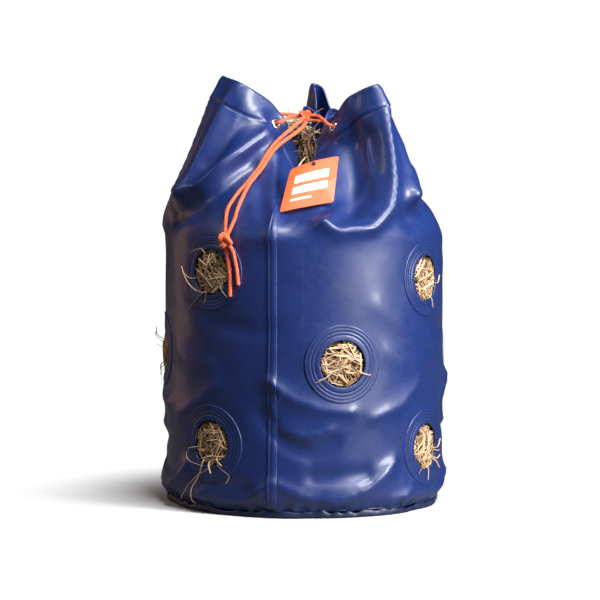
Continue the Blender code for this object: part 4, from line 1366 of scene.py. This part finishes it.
stray_run("upper", 4, [(-0.012, 0.016), (-0.016, 0.040), (-0.044, 0.034)], 0.005, 0.0019, 0.55)
stray_run("upper", 4, [(0.014, -0.026), (-0.016, -0.036), (-0.050, -0.020), (-0.070, 0.008)], 0.006, 0.0024, 0.85)
stray_run("upper", 4, [(0.000, -0.020), (-0.014, -0.036), (-0.034, -0.052), (-0.052, -0.070)], 0.005, 0.0022, 0.8)
stray_run("upper", 4, [(-0.020, -0.006), (-0.044, -0.012), (-0.070, 0.000)], 0.005, 0.0018, 0.7)
stray_run("lower", 4, [(-0.006, -0.006), (-0.030, -0.008), (-0.050, -0.014), (-0.048, -0.032), (-0.010, -0.040)], 0.007, 0.0022, 0.85)
stray_run("lower", 4, [(0.004, -0.022), (0.000, -0.042), (-0.030, -0.060), (-0.060, -0.088), (-0.076, -0.098)], 0.006, 0.0022, 0.9)
stray_run("lower", 4, [(-0.012, -0.024), (-0.024, -0.056), (-0.037, -0.082), (-0.038, -0.103)], 0.005, 0.0020, 0.85)
stray_run("lower", 4, [(0.010, -0.020), (0.022, -0.038), (0.044, -0.052), (0.036, -0.066)], 0.005, 0.0020, 0.65)
stray_run("middle", 4, [(0.000, 0.004), (-0.010, 0.024), (-0.018, 0.030)], 0.017, 0.0018, 0.6)
stray_run("middle", 4, [(0.004, 0.010), (-0.002, 0.028), (0.004, 0.040)], 0.016, 0.0018, 0.5)
stray_run("middle", 4, [(0.000, -0.004), (-0.006, 0.008), (-0.020, 0.006)], 0.015, 0.0016, 0.7)
stray_run("upper", 1, [(0.010, -0.004), (0.034, -0.010), (0.046, 0.004)], 0.006, 0.0018, 0.8)
stray_run("lower", 1, [(0.010, -0.002), (0.034, -0.004), (0.048, 0.010)], 0.007, 0.0020, 0.8)
stray_run("lower", 1, [(0.010, -0.012), (0.030, -0.024), (0.050, -0.020)], 0.006, 0.0020, 0.7)
stray_stalk("upper", 1, (0.005, -0.018), (0.018, -0.056), 0.005, 0.0014, 0.7)
stray_stalk("lower", 1, (-0.002, -0.022), (-0.008, -0.058), 0.005, 0.0014, 0.7)
stray.build("hay_stray_stalks")


def mouth_hay():
    """The heap under the gathered mouth and the wisps that stand out of it, kept inside the collar."""
    m = Straws(55)
    r = np.random.default_rng(66)
    for k in range(620):
        th = r.uniform(0, 2 * math.pi)
        rad = 0.15 * math.sqrt(r.uniform(0, 1))
        z = float(np.interp(rad, [0.0, 0.02, 0.06, 0.15], [0.566, 0.560, 0.546, 0.514]))
        d = np.array([math.cos(th + r.normal(0, 1.2)), math.sin(th + r.normal(0, 1.2)), r.uniform(-0.25, 0.35)])
        start = np.array([rad * math.cos(th), rad * math.sin(th), z + r.uniform(-0.006, 0.008)])
        pts = bent(start, d, (0, 0, -0.5), r.uniform(0.02, 0.055), 6, r)
        pts[:, 2] = np.minimum(pts[:, 2], z + 0.014)
        m.add(pts, r.uniform(0.0009, 0.0024), np.clip(r.normal(0.5, 0.2), 0, 1))
    # the heap that rises between the folds: a tangle, not a sheaf; its lower stalks are darker, painted shade in the
    # cavity between the folds
    for k in range(190):
        h = r.uniform(0, 1)
        z = 0.556 + 0.112 * h
        rad = (0.020 - 0.004 * h) * math.sqrt(r.uniform(0, 1))
        th = r.uniform(0, 2 * math.pi)
        start = np.array([0.000 + rad * math.cos(th), 0.016 + rad * math.sin(th), z])
        d = np.array([r.normal(0, 1.0), r.normal(0, 0.8), r.normal(0.25, 0.7)])
        pts = bent(start, d, (r.normal(0, 0.5), r.normal(0, 0.5), r.normal(-0.3, 0.5)), r.uniform(0.020, 0.046), 8, r)
        pts[:, 2] = np.minimum(pts[:, 2], 0.690 + 0.004 * r.uniform())
        # the tone rises with height h: painted shade on the low stalks in the cavity, with a random spread on top
        m.add(pts, r.uniform(0.0011, 0.0030), np.clip(r.normal(0.02 + 0.45 * h ** 2, 0.10), 0, 1))
    # the pale tuft that shows over the cord, left of the knot
    for k in range(90):
        start = np.array([r.normal(-0.016, 0.010), r.normal(0.004, 0.008), r.uniform(0.664, 0.690)])
        d = np.array([r.normal(0, 1.0), r.normal(0, 0.6), r.normal(0.0, 0.35)])
        pts = bent(start, d, (r.normal(0, 0.4), r.normal(0, 0.4), r.normal(-0.4, 0.4)), r.uniform(0.018, 0.040), 8, r)
        pts[:, 2] = np.minimum(pts[:, 2], 0.703 + 0.003 * r.uniform())
        m.add(pts, r.uniform(0.0011, 0.0026), np.clip(r.normal(0.85, 0.12), 0, 1))
    # wisps hanging into the front fold under the knot
    for k in range(44):
        start = np.array([r.normal(0.006, 0.006), r.normal(-0.030, 0.006), r.uniform(0.590, 0.665)])
        d = np.array([r.normal(0.0, 0.45), -0.45 + r.normal(0, 0.2), r.normal(-0.5, 0.5)])
        pts = bent(start, d, (r.normal(0, 0.5), -0.05, -1.1), r.uniform(0.025, 0.060), 9, r)
        m.add(pts, r.uniform(0.0010, 0.0022), np.clip(r.normal(0.55, 0.22), 0, 1))
    return m.build("hay_mouth")


mouth_hay()

# ------------------------------------------------------------------ floor, lights, world
def floor_material():
    """Pale and lit near the bag; further off it fades into the plain bright backdrop, so no horizon shows."""
    mat, nt, bsdf = new_material("floor_pale", 0.6)
    geo = nt.nodes.new("ShaderNodeNewGeometry")
    n = noise_tex(nt, 3.0, 2.0, 0.5, geo.outputs["Position"])
    path = nt.nodes.new("ShaderNodeLightPath")
    seen_pale = ramp(nt, n, [(0.0, (0.86, 0.86, 0.86)), (1.0, (0.89, 0.89, 0.89))])
    nt.links.new(mix_colour(nt, path.outputs["Is Camera Ray"], (0.20, 0.20, 0.20), seen_pale), bsdf.inputs["Base Color"])
    sep = nt.nodes.new("ShaderNodeVectorMath")
    sep.operation = "LENGTH"
    nt.links.new(geo.outputs["Position"], sep.inputs[0])
    far = nt.nodes.new("ShaderNodeMapRange")
    far.interpolation_type = "SMOOTHSTEP"
    far.inputs["From Min"].default_value = 0.24
    far.inputs["From Max"].default_value = 0.58
    nt.links.new(sep.outputs["Value"], far.inputs["Value"])
    glow = nt.nodes.new("ShaderNodeEmission")
    glow.inputs["Color"].default_value = (0.95, 0.95, 0.95, 1)
    glow.inputs["Strength"].default_value = 1.0
    dim = maths(nt, "ADD", maths(nt, "MULTIPLY", path.outputs["Is Camera Ray"], 0.94), 0.13)
    nt.links.new(dim, glow.inputs["Strength"])
    blend_f = nt.nodes.new("ShaderNodeMixShader")
    nt.links.new(far.outputs["Result"], blend_f.inputs["Fac"])
    nt.links.new(bsdf.outputs[0], blend_f.inputs[1])
    nt.links.new(glow.outputs[0], blend_f.inputs[2])
    out = [n for n in nt.nodes if n.type == "OUTPUT_MATERIAL"][0]
    nt.links.new(blend_f.outputs[0], out.inputs["Surface"])
    return mat


size = 7.0
floor = mesh_object("studio_floor", [(-size, -size, 0), (size, -size, 0), (size, size, 0), (-size, size, 0)], [(0, 1, 2, 3)], floor_material(), smooth=False)

world = bpy.data.worlds.new("studio")
bpy.context.scene.world = world
world.use_nodes = True
wt = world.node_tree
for n in list(wt.nodes):
    wt.nodes.remove(n)
out_w = wt.nodes.new("ShaderNodeOutputWorld")
soft = wt.nodes.new("ShaderNodeBackground")
soft.inputs["Color"].default_value = (0.93, 0.95, 1.0, 1)
soft.inputs["Strength"].default_value = 0.04
plain = wt.nodes.new("ShaderNodeBackground")
plain.inputs["Color"].default_value = (0.95, 0.95, 0.95, 1)
plain.inputs["Strength"].default_value = 1.07
seen = wt.nodes.new("ShaderNodeLightPath")
blend_w = wt.nodes.new("ShaderNodeMixShader")
wt.links.new(seen.outputs["Is Camera Ray"], blend_w.inputs["Fac"])
wt.links.new(soft.outputs["Background"], blend_w.inputs[1])
wt.links.new(plain.outputs["Background"], blend_w.inputs[2])
wt.links.new(blend_w.outputs["Shader"], out_w.inputs["Surface"])


def area(name, location, target, size_x, size_y, watts, colour=(1, 1, 1)):
    data = bpy.data.lights.new(name, "AREA")
    data.shape = "RECTANGLE"
    data.size, data.size_y = size_x, size_y
    data.energy = watts
    data.color = colour
    obj = bpy.data.objects.new(name, data)
    bpy.context.scene.collection.objects.link(obj)
    obj.location = location
    obj.rotation_euler = (Vector(target) - Vector(location)).to_track_quat("-Z", "Y").to_euler()
    return obj


area("key_right", (2.2, -1.6, 1.35), (0, 0, 0.38), 0.9, 1.6, 150)
area("top_soft", (0.6, -1.2, 2.3), (0, 0, 0.50), 1.2, 0.7, 70)
area("left_strip", (-2.4, -0.9, 1.7), (0, 0, 0.50), 0.30, 1.1, 7, (1.0, 0.92, 0.86))
area("left_warm", (-2.0, 1.0, 0.7), (0, 0, 0.35), 0.8, 1.4, 3.5, (1.0, 0.52, 0.32))
bpy.context.scene.view_settings.view_transform = "Standard"
